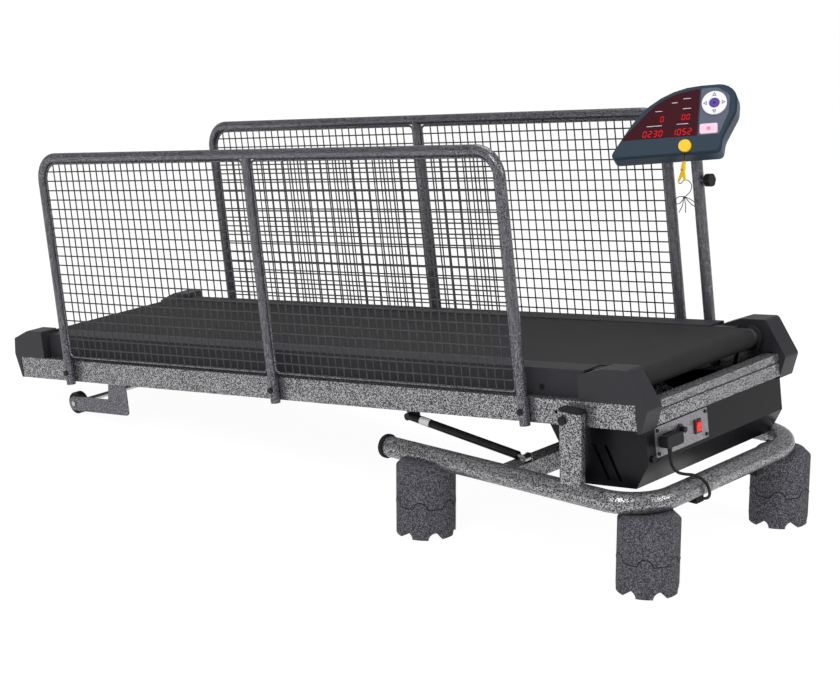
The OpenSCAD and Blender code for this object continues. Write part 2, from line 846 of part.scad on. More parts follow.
module roller_barrel(x) {
    translate([x, 0, roller_z]) difference() {
        rod_y(roller_d, -roller_l / 2, roller_l / 2);
        rod_y(roller_d - 2 * roller_wall, bearing_t - roller_l / 2, roller_l / 2 - bearing_t);
        rod_y(axle_d + 2 * run_gap, -roller_l, roller_l);
    }
}

module front_roller() {
    color("silver") on_deck() {
        roller_barrel(front_roller_x);
        translate([front_roller_x, 0, roller_z]) difference() {
            rod_y(roller_pulley_d, pulley_y - pulley_w / 2, pulley_y + pulley_w / 2);
            rod_y(axle_d + 2 * run_gap, 0, rail_in);
        }
        translate([front_roller_x, 0, roller_z]) difference() {
            rod_y(axle_d + 3 * roller_wall, roller_l / 2 - overrun, pulley_y);
            rod_y(axle_d + 2 * run_gap, 0, rail_in);
        }
    }
}

module rear_roller() {
    color("silver") on_deck() roller_barrel(rear_roller_x);
}

// Drive, inside the housing

motor_shaft_d = 14;
motor_from_pulley = 82;
motor_end = pulley_y - motor_from_pulley;
flywheel_d = 76;
flywheel_t = 16;

module drive_motor() {
    color("darkslategray") on_deck() translate([motor_x, 0, motor_z]) difference() {
        rod_y(motor_d, motor_end - motor_l, motor_end);
        rod_y(motor_shaft_d + 2 * run_gap, -rail_in, rail_in);
    }
}

module motor_rotor() {
    color("silver") on_deck() translate([motor_x, 0, motor_z]) {
        rod_y(motor_shaft_d, motor_end - motor_l - cap_plug, pulley_y + pulley_w / 2);
        rod_y(motor_pulley_d, pulley_y - pulley_w / 2, pulley_y + pulley_w / 2);
        rod_y(flywheel_d, motor_end + flywheel_t / 2, motor_end + 3 * flywheel_t / 2);
    }
}

// Loop round the roller's pulley and the motor's, tangent to both
function drive_loop(past) =
    let (high = [front_roller_x, roller_z], low = [motor_x, motor_z])
    let (r1 = roller_pulley_d / 2 + past, r2 = motor_pulley_d / 2 + past)
    let (axis = atan2(low[1] - high[1], low[0] - high[0]), lean = acos((r1 - r2) / norm(low - high)))
    concat(
        [for (i = [0:loop_steps]) let (a = axis + lean + (360 - 2 * lean) * i / loop_steps)
            high + r1 * [cos(a), sin(a)]],
        [for (i = [0:loop_steps]) let (a = axis - lean + 2 * lean * i / loop_steps)
            low + r2 * [cos(a), sin(a)]]);

loop_steps = 20;

module drive_belt() {
    color("black") on_deck() along_y(pulley_y - drive_belt_w / 2, pulley_y + drive_belt_w / 2) difference() {
        polygon(drive_loop(2 * seat_gap + drive_belt_t));
        polygon(drive_loop(2 * seat_gap));
    }
}

controller_size = [100, 120, 40];

module motor_controller() {
    color("seagreen") on_deck()
        translate([housing_front - housing_front_lean - housing_wall - controller_size[0],
                   -rail_in / 2 - controller_size[1], housing_top - housing_h + housing_wall])
            cube(controller_size);
}

function housing_side(inset, past) = [
    [housing_rear + inset, housing_top + past],
    [housing_rear + housing_rear_lean + inset, housing_top - housing_h + inset],
    [housing_front - housing_front_lean - inset, housing_top - housing_h + inset],
    [housing_front - inset, housing_top - housing_fold],
    [housing_front - inset, housing_top + past]
];

vent_w = 9;
vent_h = 80;
vent_x_shares = [0.44, 0.56];

module housing_vent(share) {
    x = housing_rear + housing_l * share;
    polygon([[x, housing_top - housing_h / 3], [x + vent_w, housing_top - housing_h / 3],
             [x + vent_w + housing_rear_lean / 2, housing_top - housing_h / 3 - vent_h],
             [x + housing_rear_lean / 2, housing_top - housing_h / 3 - vent_h]]);
}

grommet_d = 16;
grommet_in = 18;
grommet_y = housing_w / 2 - grommet_in;
grommet_down = 74;

module motor_housing() {
    color("black") on_deck() difference() {
        union() {
            along_y(-housing_w / 2, housing_w / 2) polygon(housing_side(0, 0));
            on_front_wall() translate([0, -grommet_y, -grommet_down])
                rod_x(grommet_d, -housing_wall, grommet_d / 3);
        }
        along_y(housing_wall - housing_w / 2, housing_w / 2 - housing_wall)
            polygon(housing_side(housing_wall, overrun));
        for (share = vent_x_shares) along_y(-housing_w, housing_w) housing_vent(share);
        on_front_wall() {
            translate([0, -plate_y, 0]) box([-2 * housing_wall, -inlet_hole[0] / 2 - inlet_dy, inlet_low],
                [overrun, inlet_hole[0] / 2 - inlet_dy, inlet_low + inlet_hole[1]]);
            translate([0, -plate_y + rocker_dy, plate_mid])
                cube([4 * housing_wall, rocker_w - 2 * rocker_lip, rocker_h - 2 * rocker_lip], center = true);
            translate([0, -plate_y - breaker_dy, plate_mid + breaker_up])
                rod_x(breaker_d, -2 * housing_wall, overrun);
        }
    }
}

// Switch plate, in the frame of the housing's front wall:
// origin at the wall's upper edge, X outward, Z up the wall

module on_front_wall() {
    translate([housing_front, 0, housing_top]) children();
}

plate_down = 7;
plate_mid = -plate_h / 2 - plate_down;
plate_y = housing_w / 2 - plate_in - plate_w / 2;
plate_corner = 4;
rocker_dy = 58;
breaker_dy = 8;
breaker_up = 9;
rocker_lip = 2;
breaker_d = 16;
inlet_dy = 47;
inlet_hole = [28, 21];
inlet_low = plate_mid - inlet_hole[1] / 2;
inlet_flange = [48, 29, 3];
screw_in = 8;

module switch_plate() {
    color("dimgray") on_deck() on_front_wall() translate([seat_gap, -plate_y, plate_mid]) difference() {
        rotate([90, 0, 90]) linear_extrude(height = plate_t) polygon(rounded([
            [-plate_w / 2, -plate_h / 2, plate_corner], [plate_w / 2, -plate_h / 2, plate_corner],
            [plate_w / 2, plate_h / 2, plate_corner], [-plate_w / 2, plate_h / 2, plate_corner]]));
        translate([0, -inlet_dy, 0]) cube([4 * plate_t, inlet_hole[0], inlet_hole[1]], center = true);
        translate([0, rocker_dy, 0])
            cube([4 * plate_t, rocker_w - 2 * rocker_lip, rocker_h - 2 * rocker_lip], center = true);
        translate([0, -breaker_dy, breaker_up]) rod_x(breaker_d, -overrun, plate_t + overrun);
        for (y = [-1, 1], z = [-1, 1])
            translate([0, y * (plate_w / 2 - screw_in), z * (plate_h / 2 - screw_in)])
                rod_x(screw_d + 2 * seat_gap, -overrun, plate_t + overrun);
    }
}

screw_d = 4;
inlet_wall = 2;
inlet_depth = 20;
inlet_pin = [12, 2, 5];

module power_inlet() {
    hole = inlet_hole - 2 * [seat_gap, seat_gap];
    color("black") on_deck() on_front_wall()
        translate([seat_gap + plate_t, -plate_y - inlet_dy, plate_mid]) {
            difference() {
                union() {
                    translate([inlet_flange[2] / 2 + seat_gap, 0, 0])
                        cube([inlet_flange[2], inlet_flange[0], inlet_flange[1]], center = true);
                    translate([-inlet_depth / 2 + inlet_flange[2], 0, 0])
                        cube([inlet_depth, hole[0], hole[1]], center = true);
                }
                translate([inlet_flange[2] - inlet_depth + inlet_wall + inlet_depth / 2 + overrun, 0, 0])
                    cube([inlet_depth + 2 * overrun, hole[0] - 2 * inlet_wall, hole[1] - 2 * inlet_wall],
                         center = true);
            }
            for (y = [-1, 0, 1])
                translate([inlet_flange[2] - inlet_depth + inlet_wall + inlet_pin[0] / 2,
                           y * inlet_hole[0] / 4, (y == 0 ? 1 : -1) * inlet_hole[1] / 8])
                    cube([inlet_pin[0] + overrun, inlet_pin[1], inlet_pin[2]], center = true);
        }
}

rocker_frame_t = 3;
rocker_wall = 1.5;
rocker_deep = 12;
rocker_pin_d = 3;
breaker_flange_d = 24;
breaker_bore_d = 8;
breaker_knob_d = 13;
breaker_deep = 18;

module switch_bodies() {
    color("black") on_deck() on_front_wall() translate([2 * seat_gap + plate_t, -plate_y, plate_mid]) {
        translate([0, rocker_dy, 0]) difference() {
            union() {
                translate([rocker_frame_t / 2, 0, 0]) cube([rocker_frame_t, rocker_w, rocker_h], center = true);
                translate([rocker_frame_t - rocker_deep, 0, 0]) translate([rocker_deep / 2 - overrun, 0, 0])
                    cube([rocker_deep, rocker_w - 2 * rocker_lip - 2 * seat_gap,
                          rocker_h - 2 * rocker_lip - 2 * seat_gap], center = true);
            }
            translate([rocker_wall, 0, 0]) cube([2 * rocker_deep - 2 * rocker_frame_t - 4 * rocker_wall,
                rocker_w - 2 * rocker_lip - 2 * rocker_wall, rocker_h - 2 * rocker_lip - 2 * rocker_wall],
                center = true);
            // Bearing of the rocker's pin
            translate([rocker_frame_t - rocker_sunk, 0, 0]) rod_y(rocker_pin_d + 2 * run_gap,
                -rocker_key_w / 2 - rocker_wall - seat_gap, rocker_key_w / 2 + rocker_wall + seat_gap);
        }
        translate([0, -breaker_dy, breaker_up]) difference() {
            union() {
                rod_x(breaker_flange_d, 0, rocker_frame_t);
                rod_x(breaker_d - 2 * seat_gap, -breaker_deep, rocker_frame_t);
            }
            rod_x(breaker_bore_d + 2 * run_gap, overrun - breaker_deep, rocker_frame_t + overrun);
        }
    }
}

breaker_travel = 5;

module breaker_button() {
    color("black") on_deck() on_front_wall()
        translate([2 * seat_gap + plate_t + rocker_frame_t, -plate_y - breaker_dy, plate_mid + breaker_up]) {
            rod_x(breaker_bore_d, -breaker_deep / 2, breaker_knob_d / 2);
            rod_x(breaker_knob_d, seat_gap, breaker_knob_d);
        }
}

rocker_tilt = 10;
rocker_sunk = 2;
rocker_valley_share = 1.4;
rocker_key_w = rocker_w - 2 * rocker_lip - 2 * rocker_wall - 2 * key_gap;
rocker_key_h = rocker_h - 2 * rocker_lip - 2 * rocker_wall - 4 * key_gap;

module rocker_switch() {
    color("red") on_deck() on_front_wall()
        translate([2 * seat_gap + plate_t + rocker_frame_t - rocker_sunk, -plate_y + rocker_dy, plate_mid]) {
            rotate([0, rocker_tilt, 0]) along_y(-rocker_key_w / 2, rocker_key_w / 2) polygon([
                [-rocker_wall, -rocker_key_h / 2], [2 * rocker_frame_t, -rocker_key_h / 2],
                [rocker_frame_t * rocker_valley_share, 0], [2 * rocker_frame_t, rocker_key_h / 2],
                [-rocker_wall, rocker_key_h / 2]]);
            rod_y(rocker_pin_d, -rocker_key_w / 2 - rocker_wall, rocker_key_w / 2 + rocker_wall);
        }
}

// End caps of the rails

front_cap_shoulder_share = 0.75;
front_cap_rise_share = 0.45;
front_cap_flat_share = 0.36;
cap_round = 12;
front_cap_drop = 6;
nose_z_share = 0.14;
slot_gap = 1;
axle_slot = axle_d + 2 * slot_gap;

function front_cap_side(inset) =
    let (rear = rail_front - front_cap_l, top = rail_top + front_cap_h)
    rounded([
        [rear + inset, rail_top + seat_gap - inset, 0],
        [rear + inset, rail_top + front_cap_h * front_cap_shoulder_share, cap_round / 2],
        [rear + front_cap_l * front_cap_rise_share + inset, top - inset, cap_round],
        [rear + front_cap_l * (1 - front_cap_flat_share / 4) - inset, top - inset, cap_round],
        [rail_front + front_cap_nose - inset, rail_top - front_cap_h * nose_z_share, cap_round],
        [rail_front + front_cap_nose / 3, rail_low - front_cap_drop, cap_round / 3],
        [rail_front + seat_gap, rail_low - front_cap_drop, 0],
        [rail_front + seat_gap, rail_top + seat_gap - inset, 0]]);

function rear_cap_side(inset) =
    let (front = rail_rear + rear_cap_l, top = rail_top + rear_cap_h)
    rounded([
        [front - inset, rail_top + seat_gap - inset, 0],
        [front - inset, top - inset, cap_round / 3],
        [rail_rear + rear_cap_l * rear_flat_share, top - inset, cap_round],
        [rail_rear - rear_cap_nose * rear_brow_share + inset, rail_top + rear_cap_h * rear_brow_rise_share,
         cap_round / 2],
        [rail_rear - rear_cap_nose + inset, rear_nose_z, cap_round / 2],
        [rail_rear - rear_cap_nose * rear_heel_share, rail_low, cap_round / 3],
        [rail_rear - seat_gap, rail_low, 0],
        [rail_rear - seat_gap, rail_top + seat_gap - inset, 0]]);

rear_flat_share = 0.42;
rear_brow_share = 0.7;
rear_brow_rise_share = 0.7;
rear_heel_share = 0.25;
cap_proud = 1;

// The origin lies under the middle of the whole length
rear_reach = max([for (p = rear_cap_side(0)) p[1] * sin(incline) - p[0] * cos(incline)]);
front_reach = max([for (p = riser_places) p[0]]) + riser_d / 2;
pivot_x = (rear_reach - front_reach) / 2;

module cap_shell(roller_x) {
    difference() {
        along_y(-rail_out - cap_proud, -cap_in) children(0);
        intersection() {
            along_y(cap_wall - rail_out - cap_proud, -cap_in - cap_wall) children(1);
            box([rail_rear, -deck_w, rail_top - deck_w], [rail_front, 0, rail_top + deck_w]);
        }
        box([roller_x - axle_slot / 2, -cap_in - 2 * cap_wall, rail_top],
            [roller_x + axle_slot / 2, overrun - cap_in, roller_z]);
        translate([roller_x, 0, roller_z]) rod_y(axle_slot, -cap_in - 2 * cap_wall, overrun - cap_in);
    }
}

module rail_end_caps() {
    color("black") on_deck() pair() {
        cap_shell(front_roller_x) {
            polygon(front_cap_side(0));
            polygon(front_cap_side(cap_wall));
        }
        cap_shell(rear_roller_x) {
            polygon(rear_cap_side(0));
            polygon(rear_cap_side(cap_wall));
        }
    }
}

// Side panels

post_bolt_d = 8;
post_bolt_z = rail_low + rail_h / 2;
post_low = rail_low - post_drop;

module panel_run(d, past) {
    r = panel_bend_r;
    for (x = [post_x[0], post_x[2]]) translate([x, 0, rail_low - post_drop + past])
        cylinder(d = d, h = panel_top - r - rail_low + post_drop - past);
    translate([post_x[0] - r, 0, panel_top - r]) rotate([90, 0, 0])
        rotate_extrude(angle = 90) translate([r, 0]) circle(d = d);
    translate([post_x[2] + r, 0, panel_top - r]) rotate([90, 0, 0]) rotate([0, 0, 90])
        rotate_extrude(angle = 90) translate([r, 0]) circle(d = d);
    translate([0, 0, panel_top]) rod_x(d, post_x[2] + r, post_x[0] - r);
    translate([post_x[1], 0, rail_low - post_drop + past])
        cylinder(d = d, h = panel_top - rail_low + post_drop - past);
}

module panel_frames() {
    color("dimgray") on_deck() pair() translate([0, -panel_y, 0]) difference() {
        panel_run(panel_tube_d, 0);
        panel_run(panel_tube_d - 2 * panel_wall, panel_wall);
        for (x = post_x) translate([x, 0, post_bolt_z])
            rod_y(post_bolt_d + 2 * seat_gap, -panel_tube_d, panel_tube_d);
    }
}

// Edge rod of one mesh between two posts
module mesh_rim(x0, x1, rear_r, front_r) {
    left = x0 + rod_in;
    right = x1 - rod_in;
    low = mesh_low;
    top = mesh_top;
    spots = [[left, low, mesh_corner_r], [right, low, mesh_corner_r], [right, top, front_r], [left, top, rear_r]];
    rod_x_at(low, left + mesh_corner_r, right - mesh_corner_r);
    rod_x_at(top, left + rear_r, right - front_r);
    translate([left, 0, low + mesh_corner_r]) cylinder(d = mesh_rod_d, h = top - low - rear_r - mesh_corner_r);
    translate([right, 0, low + mesh_corner_r]) cylinder(d = mesh_rod_d, h = top - low - front_r - mesh_corner_r);
    for (i = [0:3]) let (s = spots[i])
        translate([s[0] + (i == 0 || i == 3 ? 1 : -1) * s[2], 0, s[1] + (i < 2 ? 1 : -1) * s[2]])
            rotate([90, 0, 0]) rotate([0, 0, 180 + 90 * i])
                rotate_extrude(angle = 90) translate([s[2], 0]) circle(d = mesh_rod_d);
}

module rod_x_at(z, x0, x1) {
    translate([0, 0, z]) rod_x(mesh_rod_d, x0, x1);
}

// Height of the edge rod's centre above or below a column, where a round corner cuts in
function corner_rise(along, r) = along >= r ? 0 : r - sqrt(r * r - (r - along) * (r - along));

module mesh_wires(x0, x1, rear_r, front_r) {
    columns = floor((x1 - x0 - 3 * mesh_pitch) / mesh_pitch);
    first = (x0 + x1 - columns * mesh_pitch) / 2;
    edge = mesh_rod_d / 2 + weld_gap;
    layer = mesh_wire_d / 2 + weld_gap / 2;
    for (i = [0:columns]) let (x = first + i * mesh_pitch)
        let (cut = max(corner_rise(x - x0 - rod_in, rear_r), corner_rise(x1 - rod_in - x, front_r)))
        translate([x, layer, mesh_low + edge])
            cylinder(d = mesh_wire_d, h = mesh_top - mesh_low - 2 * edge - cut);
    for (j = [1:mesh_rows]) let (z = mesh_low + j * mesh_row_pitch)
        let (rear = corner_rise(mesh_top - z, rear_r), front = corner_rise(mesh_top - z, front_r))
        translate([0, -layer, z]) rod_x(mesh_wire_d, x0 + rod_in + edge + rear, x1 - rod_in - edge - front);
}

outer_corner_r = panel_bend_r - rod_in;

module mesh_rims() {
    mesh_rim(post_x[2], post_x[1], outer_corner_r, mesh_corner_r);
    mesh_rim(post_x[1], post_x[0], mesh_corner_r, outer_corner_r);
}

module mesh_fill() {
    mesh_wires(post_x[2], post_x[1], outer_corner_r, mesh_corner_r);
    mesh_wires(post_x[1], post_x[0], mesh_corner_r, outer_corner_r);
}

module right_mesh_rims() {
    color("dimgray") on_deck() translate([0, -panel_y, 0]) mesh_rims();
}

module left_mesh_rims() {
    color("dimgray") on_deck() mirror([0, 1, 0]) translate([0, -panel_y, 0]) mesh_rims();
}

module right_mesh_wires() {
    color("slategray") on_deck() translate([0, -panel_y, 0]) mesh_fill();
}

module left_mesh_wires() {
    color("slategray") on_deck() mirror([0, 1, 0]) translate([0, -panel_y, 0]) mesh_fill();
}

post_head_d = 15;
post_head_t = 4;
post_nut_t = 6;
screw_head_d = 8;
screw_head_t = 2.5;
trim_screw_x = -98;
trim_screw_d = 12;

module post_bolt(d) {
    rod_y(post_bolt_d, -rail_out - d - 2 * seat_gap, post_nut_t - rail_in);
    rod_y(post_head_d, -rail_out - d - 2 * seat_gap - post_head_t, -rail_out - d - 2 * seat_gap);
    rod_y(post_head_d, seat_gap - rail_in, post_nut_t - rail_in);
}

module deck_fasteners() {
    color("black") on_deck() {
        pair() for (x = post_x) translate([x, 0, post_bolt_z]) post_bolt(panel_tube_d);
        mirror([0, 1, 0]) translate([-mast_x, 0, post_bolt_z]) post_bolt(mast_d);
        pair() translate([trim_screw_x, 0, (rail_top + board_low) / 2])
            rod_y(trim_screw_d, -trim_out - seat_gap - screw_head_t, -trim_out - seat_gap);
        on_front_wall() translate([2 * seat_gap + plate_t, -plate_y, plate_mid])
            for (y = [-1, 1], z = [-1, 1])
                translate([0, y * (plate_w / 2 - screw_in), z * (plate_h / 2 - screw_in)]) {
                    rod_x(screw_head_d, 0, screw_head_t);
                    rod_x(screw_d, -plate_t, screw_head_t);
                }
    }
}

// Rear wheels

module wheel_plate() {
    half = wheel_arm_w / 2;
    along_y(-wheel_plate_y, wheel_plate_t - wheel_plate_y) polygon(rounded([
        [-wheel_x - half, wheel_z + half, half - overrun],
        [-wheel_x + wheel_leg_near - half / 2, wheel_z + half, half / 4],
        [-wheel_x + wheel_leg_near, rail_low - seat_gap, 0],
        [-wheel_x + wheel_leg_near + wheel_leg_w, rail_low - seat_gap, 0],
        [-wheel_x + wheel_leg_near + wheel_leg_w, wheel_z - half, half / 2],
        [-wheel_x - half, wheel_z - half, half - overrun]]));
}

module wheel_brackets() {
    color("dimgray") on_deck() pair() difference() {
        wheel_plate();
        translate([-wheel_x, 0, wheel_z])
            rod_y(wheel_axle_d + 2 * seat_gap, -wheel_plate_y - overrun, wheel_plate_t - wheel_plate_y + overrun);
    }
}

wheel_hub_d = 26;
wheel_dish = 2;

module wheel() {
    translate([-wheel_x, -wheel_y, wheel_z]) difference() {
        rotate([90, 0, 0]) rotate_extrude() polygon(rounded([
            [0, -wheel_w / 2, 0], [wheel_hub_d / 2, -wheel_w / 2, 0],
            [wheel_hub_d / 2 + wheel_dish, wheel_dish - wheel_w / 2, 0],
            [wheel_d / 2 - 2 * wheel_dish, wheel_dish - wheel_w / 2, 0],
            [wheel_d / 2 - 2 * wheel_dish, -wheel_w / 2, 0],
            [wheel_d / 2, -wheel_w / 2, wheel_dish], [wheel_d / 2, wheel_w / 2, wheel_dish],
            [wheel_d / 2 - 2 * wheel_dish, wheel_w / 2, 0],
            [wheel_d / 2 - 2 * wheel_dish, wheel_w / 2 - wheel_dish, 0],
            [wheel_hub_d / 2 + wheel_dish, wheel_w / 2 - wheel_dish, 0],
            [wheel_hub_d / 2, wheel_w / 2, 0], [0, wheel_w / 2, 0]]));
        rod_y(wheel_axle_d + 2 * run_gap, -wheel_w, wheel_w);
    }
}

module right_wheel() {
    color("black") on_deck() wheel();
}

module left_wheel() {
    color("black") on_deck() mirror([0, 1, 0]) wheel();
}

// Mast and clamp knob

knob_screw_d = 8;
knob_boss_d = 18;
knob_boss_l = 10;
knob_t = 16;
knob_scallop_share = 0.58;

module mast() {
    color("dimgray") on_deck() translate([-mast_x, mast_y, 0]) difference() {
        union() {
            translate([0, 0, post_low]) cylinder(d = mast_d, h = mast_top - post_low);
            translate([0, 0, knob_z]) rod_x(knob_boss_d, 0, mast_d / 2 + knob_boss_l);
        }
        translate([0, 0, post_low + mast_wall])
            cylinder(d = mast_d - 2 * mast_wall, h = mast_top - post_low);
        translate([0, 0, knob_z]) rod_x(knob_screw_d + 2 * run_gap, 0, mast_d / 2 + knob_boss_l + overrun);
        translate([0, 0, post_bolt_z]) rod_y(post_bolt_d + 2 * seat_gap, -mast_d, mast_d);
    }
}

module clamp_knob() {
    color("black") on_deck() translate([-mast_x, mast_y, knob_z]) {
        rod_x(knob_screw_d, post_d / 2 + 2 * seat_gap, mast_d / 2 + knob_boss_l + knob_t / 2);
        difference() {
            rod_x(knob_d, mast_d / 2 + knob_boss_l + seat_gap, mast_d / 2 + knob_boss_l + knob_t);
            for (i = [0:5]) rotate([i * 60, 0, 0]) translate([0, 0, knob_d * knob_scallop_share])
                rod_x(knob_d / 4, 0, mast_d / 2 + knob_boss_l + knob_t + overrun);
        }
    }
}

stub_step = 4;
stub_d = post_d - 2 * stub_step;
post_below = 130;

module console_post() {
    color("silver") on_deck() translate([-mast_x, mast_y, 0]) {
        translate([0, 0, knob_z - post_below]) cylinder(d = post_d, h = boss_low - seat_gap - knob_z + post_below);
        translate([0, 0, knob_z]) cylinder(d = stub_d, h = post_top - knob_z);
    }
}

// Console, in the frame of its face: X right, Y up the face, Z out of it

module on_console() {
    on_deck() translate([-mast_x, mast_y, console_z]) rotate([90 - console_tilt, 0, console_turn])
        translate([0, 0, face_ahead]) children();
}

crown_share = 0.455;
console_top = console_h * crown_share;
console_low = console_top - console_h;
fin_corner_share = 0.43;
fin_foot_share = 0.65;
fin_side_shares = [0.97, 0.06];
waist_shares = [0.69, 0.62];
fin_foot_r = 12;
fin_waist_r = 60;
fin_side_r = 45;
fin_crown_r = 44;
fin_arc_r = 200;

// Fin outline: flat foot, waisted right side, long arc from the crown to the left tip
function fin(inset) = rounded([
    [-console_left + 2 * inset, console_low + inset, fin_foot_r],
    [console_right * fin_foot_share - inset, console_low + inset, fin_foot_r],
    [console_right * waist_shares[0] - inset, console_low * waist_shares[1], fin_waist_r],
    [console_right * fin_side_shares[0] - inset, console_top * fin_side_shares[1], fin_side_r],
    [console_right - inset, console_top - inset, fin_crown_r - inset],
    [-console_left * fin_corner_share + inset / 2, console_top - inset, fin_arc_r]]);

neck_w = 30;
neck_low = -50;
neck_high = -12;

module console_shell() {
    color("darkslategray") {
        on_console() difference() {
            union() {
                translate([0, 0, -console_t]) linear_extrude(height = console_t - bezel_t - seat_gap)
                    polygon(fin(0));
                box([-neck_w / 2, neck_low, -console_t - boss_d], [neck_w / 2, neck_high, overrun - console_t]);
            }
            translate([0, 0, shell_wall - console_t]) linear_extrude(height = console_t)
                polygon(fin(shell_wall));
            console_axis() translate([0, 0, boss_low - console_z]) {
                cylinder(d = boss_d - overrun, h = post_top + 2 * shell_wall - boss_low);
                translate([0, 0, -mast_d]) cylinder(d = boss_d + overrun, h = mast_d);
            }
        }
        on_console() console_axis() translate([0, 0, boss_low - console_z]) difference() {
            cylinder(d = boss_d, h = post_top + 2 * shell_wall - boss_low);
            translate([0, 0, -overrun])
                cylinder(d = stub_d + 2 * run_gap, h = post_top - boss_low + overrun + seat_gap);
        }
    }
}

// Frame along the mast, seen from the console's own frame
module console_axis() {
    translate([0, 0, -face_ahead]) rotate([-90 + console_tilt, 0, 0]) children();
}

display_corner_share = 0.33;
display_left_share = 0.84;
face_low_share = 0.53;
face_top_share = 0.87;
display_peak_share = 0.7;
display_right = [18, 25];
face_corner_r = 3;
display_arc_r = 160;
keypad_foot = [21, 70];
keypad_crown = [28, 66];
keypad_waist_shares = [0.81, 0.02];
keypad_side_shares = [0.84, 0.6];
keypad_waist_r = 30;
keypad_side_r = 16;

function display_outline(inset) = rounded([
    [-console_left * display_left_share + 2 * inset, console_low * face_low_share + inset, face_corner_r],
    [display_right[0] - inset, console_low * face_low_share + inset, face_corner_r],
    [display_right[1] - inset, console_top * face_top_share - inset, face_corner_r],
    [-console_left * display_corner_share + inset, console_top * display_peak_share - inset, display_arc_r]]);

function keypad_outline(inset) = rounded([
    [keypad_foot[0] + inset, console_low * face_low_share + inset, face_corner_r],
    [keypad_foot[1] - inset, console_low * face_low_share + inset, face_corner_r],
    [console_right * keypad_waist_shares[0] - inset, console_top * keypad_waist_shares[1], keypad_waist_r],
    [console_right * keypad_side_shares[0] - inset, console_top * keypad_side_shares[1], keypad_side_r],
    [keypad_crown[1], console_top * face_top_share - inset, keypad_side_r],
    [keypad_crown[0] + inset, console_top * face_top_share - inset, face_corner_r]]);

lens_t = 2;
panel_t = 2;
pad_at = [59, 29];
stop_at = [46, -35];
key_at = [-9, -76];
pad_pocket = 8.2;
stop_pocket = 5.2;
key_hole_d = 10;
key_hole_deep = 9;
stop_round = 4;

module stop_outline(gap) {
    polygon(rounded([
        [-stop_w / 2 - gap, -stop_h / 2 - gap, stop_round], [stop_w / 2 + gap, -stop_h / 2 - gap, stop_round],
        [stop_w / 2 + gap, stop_h / 2 + gap, stop_round], [-stop_w / 2 - gap, stop_h / 2 + gap, stop_round]]));
}

// Inset and height of the bezel's rounded edge, step by step
bezel_steps_shares = [[0, 0.4], [0.067, 0.583], [0.167, 0.833], [0.333, 1]];

module console_bezel() {
    color("darkslategray") on_console() difference() {
        for (s = bezel_steps_shares) translate([0, 0, -bezel_t])
            linear_extrude(height = bezel_t * s[1]) polygon(fin(bezel_t * s[0]));
        translate([0, 0, -lens_t]) linear_extrude(height = lens_t + overrun) polygon(display_outline(0));
        translate([0, 0, -panel_t]) linear_extrude(height = panel_t + overrun) polygon(keypad_outline(0));
        translate([pad_at[0], pad_at[1], -pad_pocket]) cylinder(r = pad_r + key_gap, h = pad_pocket + overrun);
        translate([stop_at[0], stop_at[1], -stop_pocket]) linear_extrude(height = stop_pocket + overrun)
            stop_outline(key_gap);
        translate([key_at[0], key_at[1], -key_hole_deep])
            cylinder(d = key_hole_d + 2 * key_gap, h = key_hole_deep + overrun);
    }
}

module display_lens() {
    color("maroon") on_console() translate([0, 0, seat_gap - lens_t])
        linear_extrude(height = lens_t - seat_gap) polygon(display_outline(seat_gap));
}

module keypad_panel() {
    color("slategray") on_console() difference() {
        translate([0, 0, seat_gap - panel_t]) linear_extrude(height = panel_t - seat_gap)
            polygon(keypad_outline(seat_gap));
        translate([pad_at[0], pad_at[1], -pad_pocket]) cylinder(r = pad_r + key_gap, h = 2 * pad_pocket);
        translate([stop_at[0], stop_at[1], -pad_pocket]) linear_extrude(height = 2 * pad_pocket)
            stop_outline(key_gap);
    }
}

board_size = [170, 90, 1.6];
board_place_shares = [0.55, 0.72];

module console_board() {
    color("seagreen") on_console() translate([-board_size[0] * board_place_shares[0],
        -board_size[1] * board_place_shares[1], -bezel_t - seat_gap - board_size[2]]) cube(board_size);
}

gimbal_r = 20;
gimbal_t = 1;
gimbal_z = -5.2;
pad_t = 4.5;
pad_z = -2;
key_travel = 1;

module pad_gimbal() {
    color("black") on_console() translate([pad_at[0], pad_at[1], gimbal_z]) difference() {
        cylinder(r = gimbal_r, h = gimbal_t);
        translate([0, 0, -overrun]) cylinder(r = start_r + 2 * key_gap, h = gimbal_t + 2 * overrun);
    }
}

module four_way_pad() {
    color("white") on_console() translate([pad_at[0], pad_at[1], pad_z]) difference() {
        cylinder(r = pad_r - key_gap, h = pad_t);
        translate([0, 0, -overrun]) cylinder(r = start_r + 2 * key_gap, h = pad_t + 2 * overrun);
    }
}

module start_key() {
    color("rebeccapurple") on_console() translate([pad_at[0], pad_at[1], key_travel + seat_gap - pad_pocket])
        cylinder(r = start_r, h = pad_pocket + pad_t + pad_z - key_travel);
}

module stop_key() {
    color("pink") on_console() translate([stop_at[0], stop_at[1], key_travel + seat_gap - stop_pocket])
        linear_extrude(height = stop_pocket + key_travel) stop_outline(0);
}

key_disc_t = 7;

module safety_key() {
    color("gold") on_console() translate([key_at[0], key_at[1], 0]) {
        translate([0, 0, seat_gap]) cylinder(r = key_r, h = key_disc_t);
        translate([0, 0, overrun - key_hole_deep]) cylinder(d = key_hole_d, h = key_hole_deep);
    }
}

// Lanyard: points chosen by hand in the level frame of the base

lanyard_y = 218;
clip_apex = [-81, 482];
clip_pin = [-83, 462];
clip_t = 4;
clip_round = 1;
clip_pin_d = 3;
knot_at = [-77, 218, 397];
knot_r = 4;
lanyard_sides = 8;

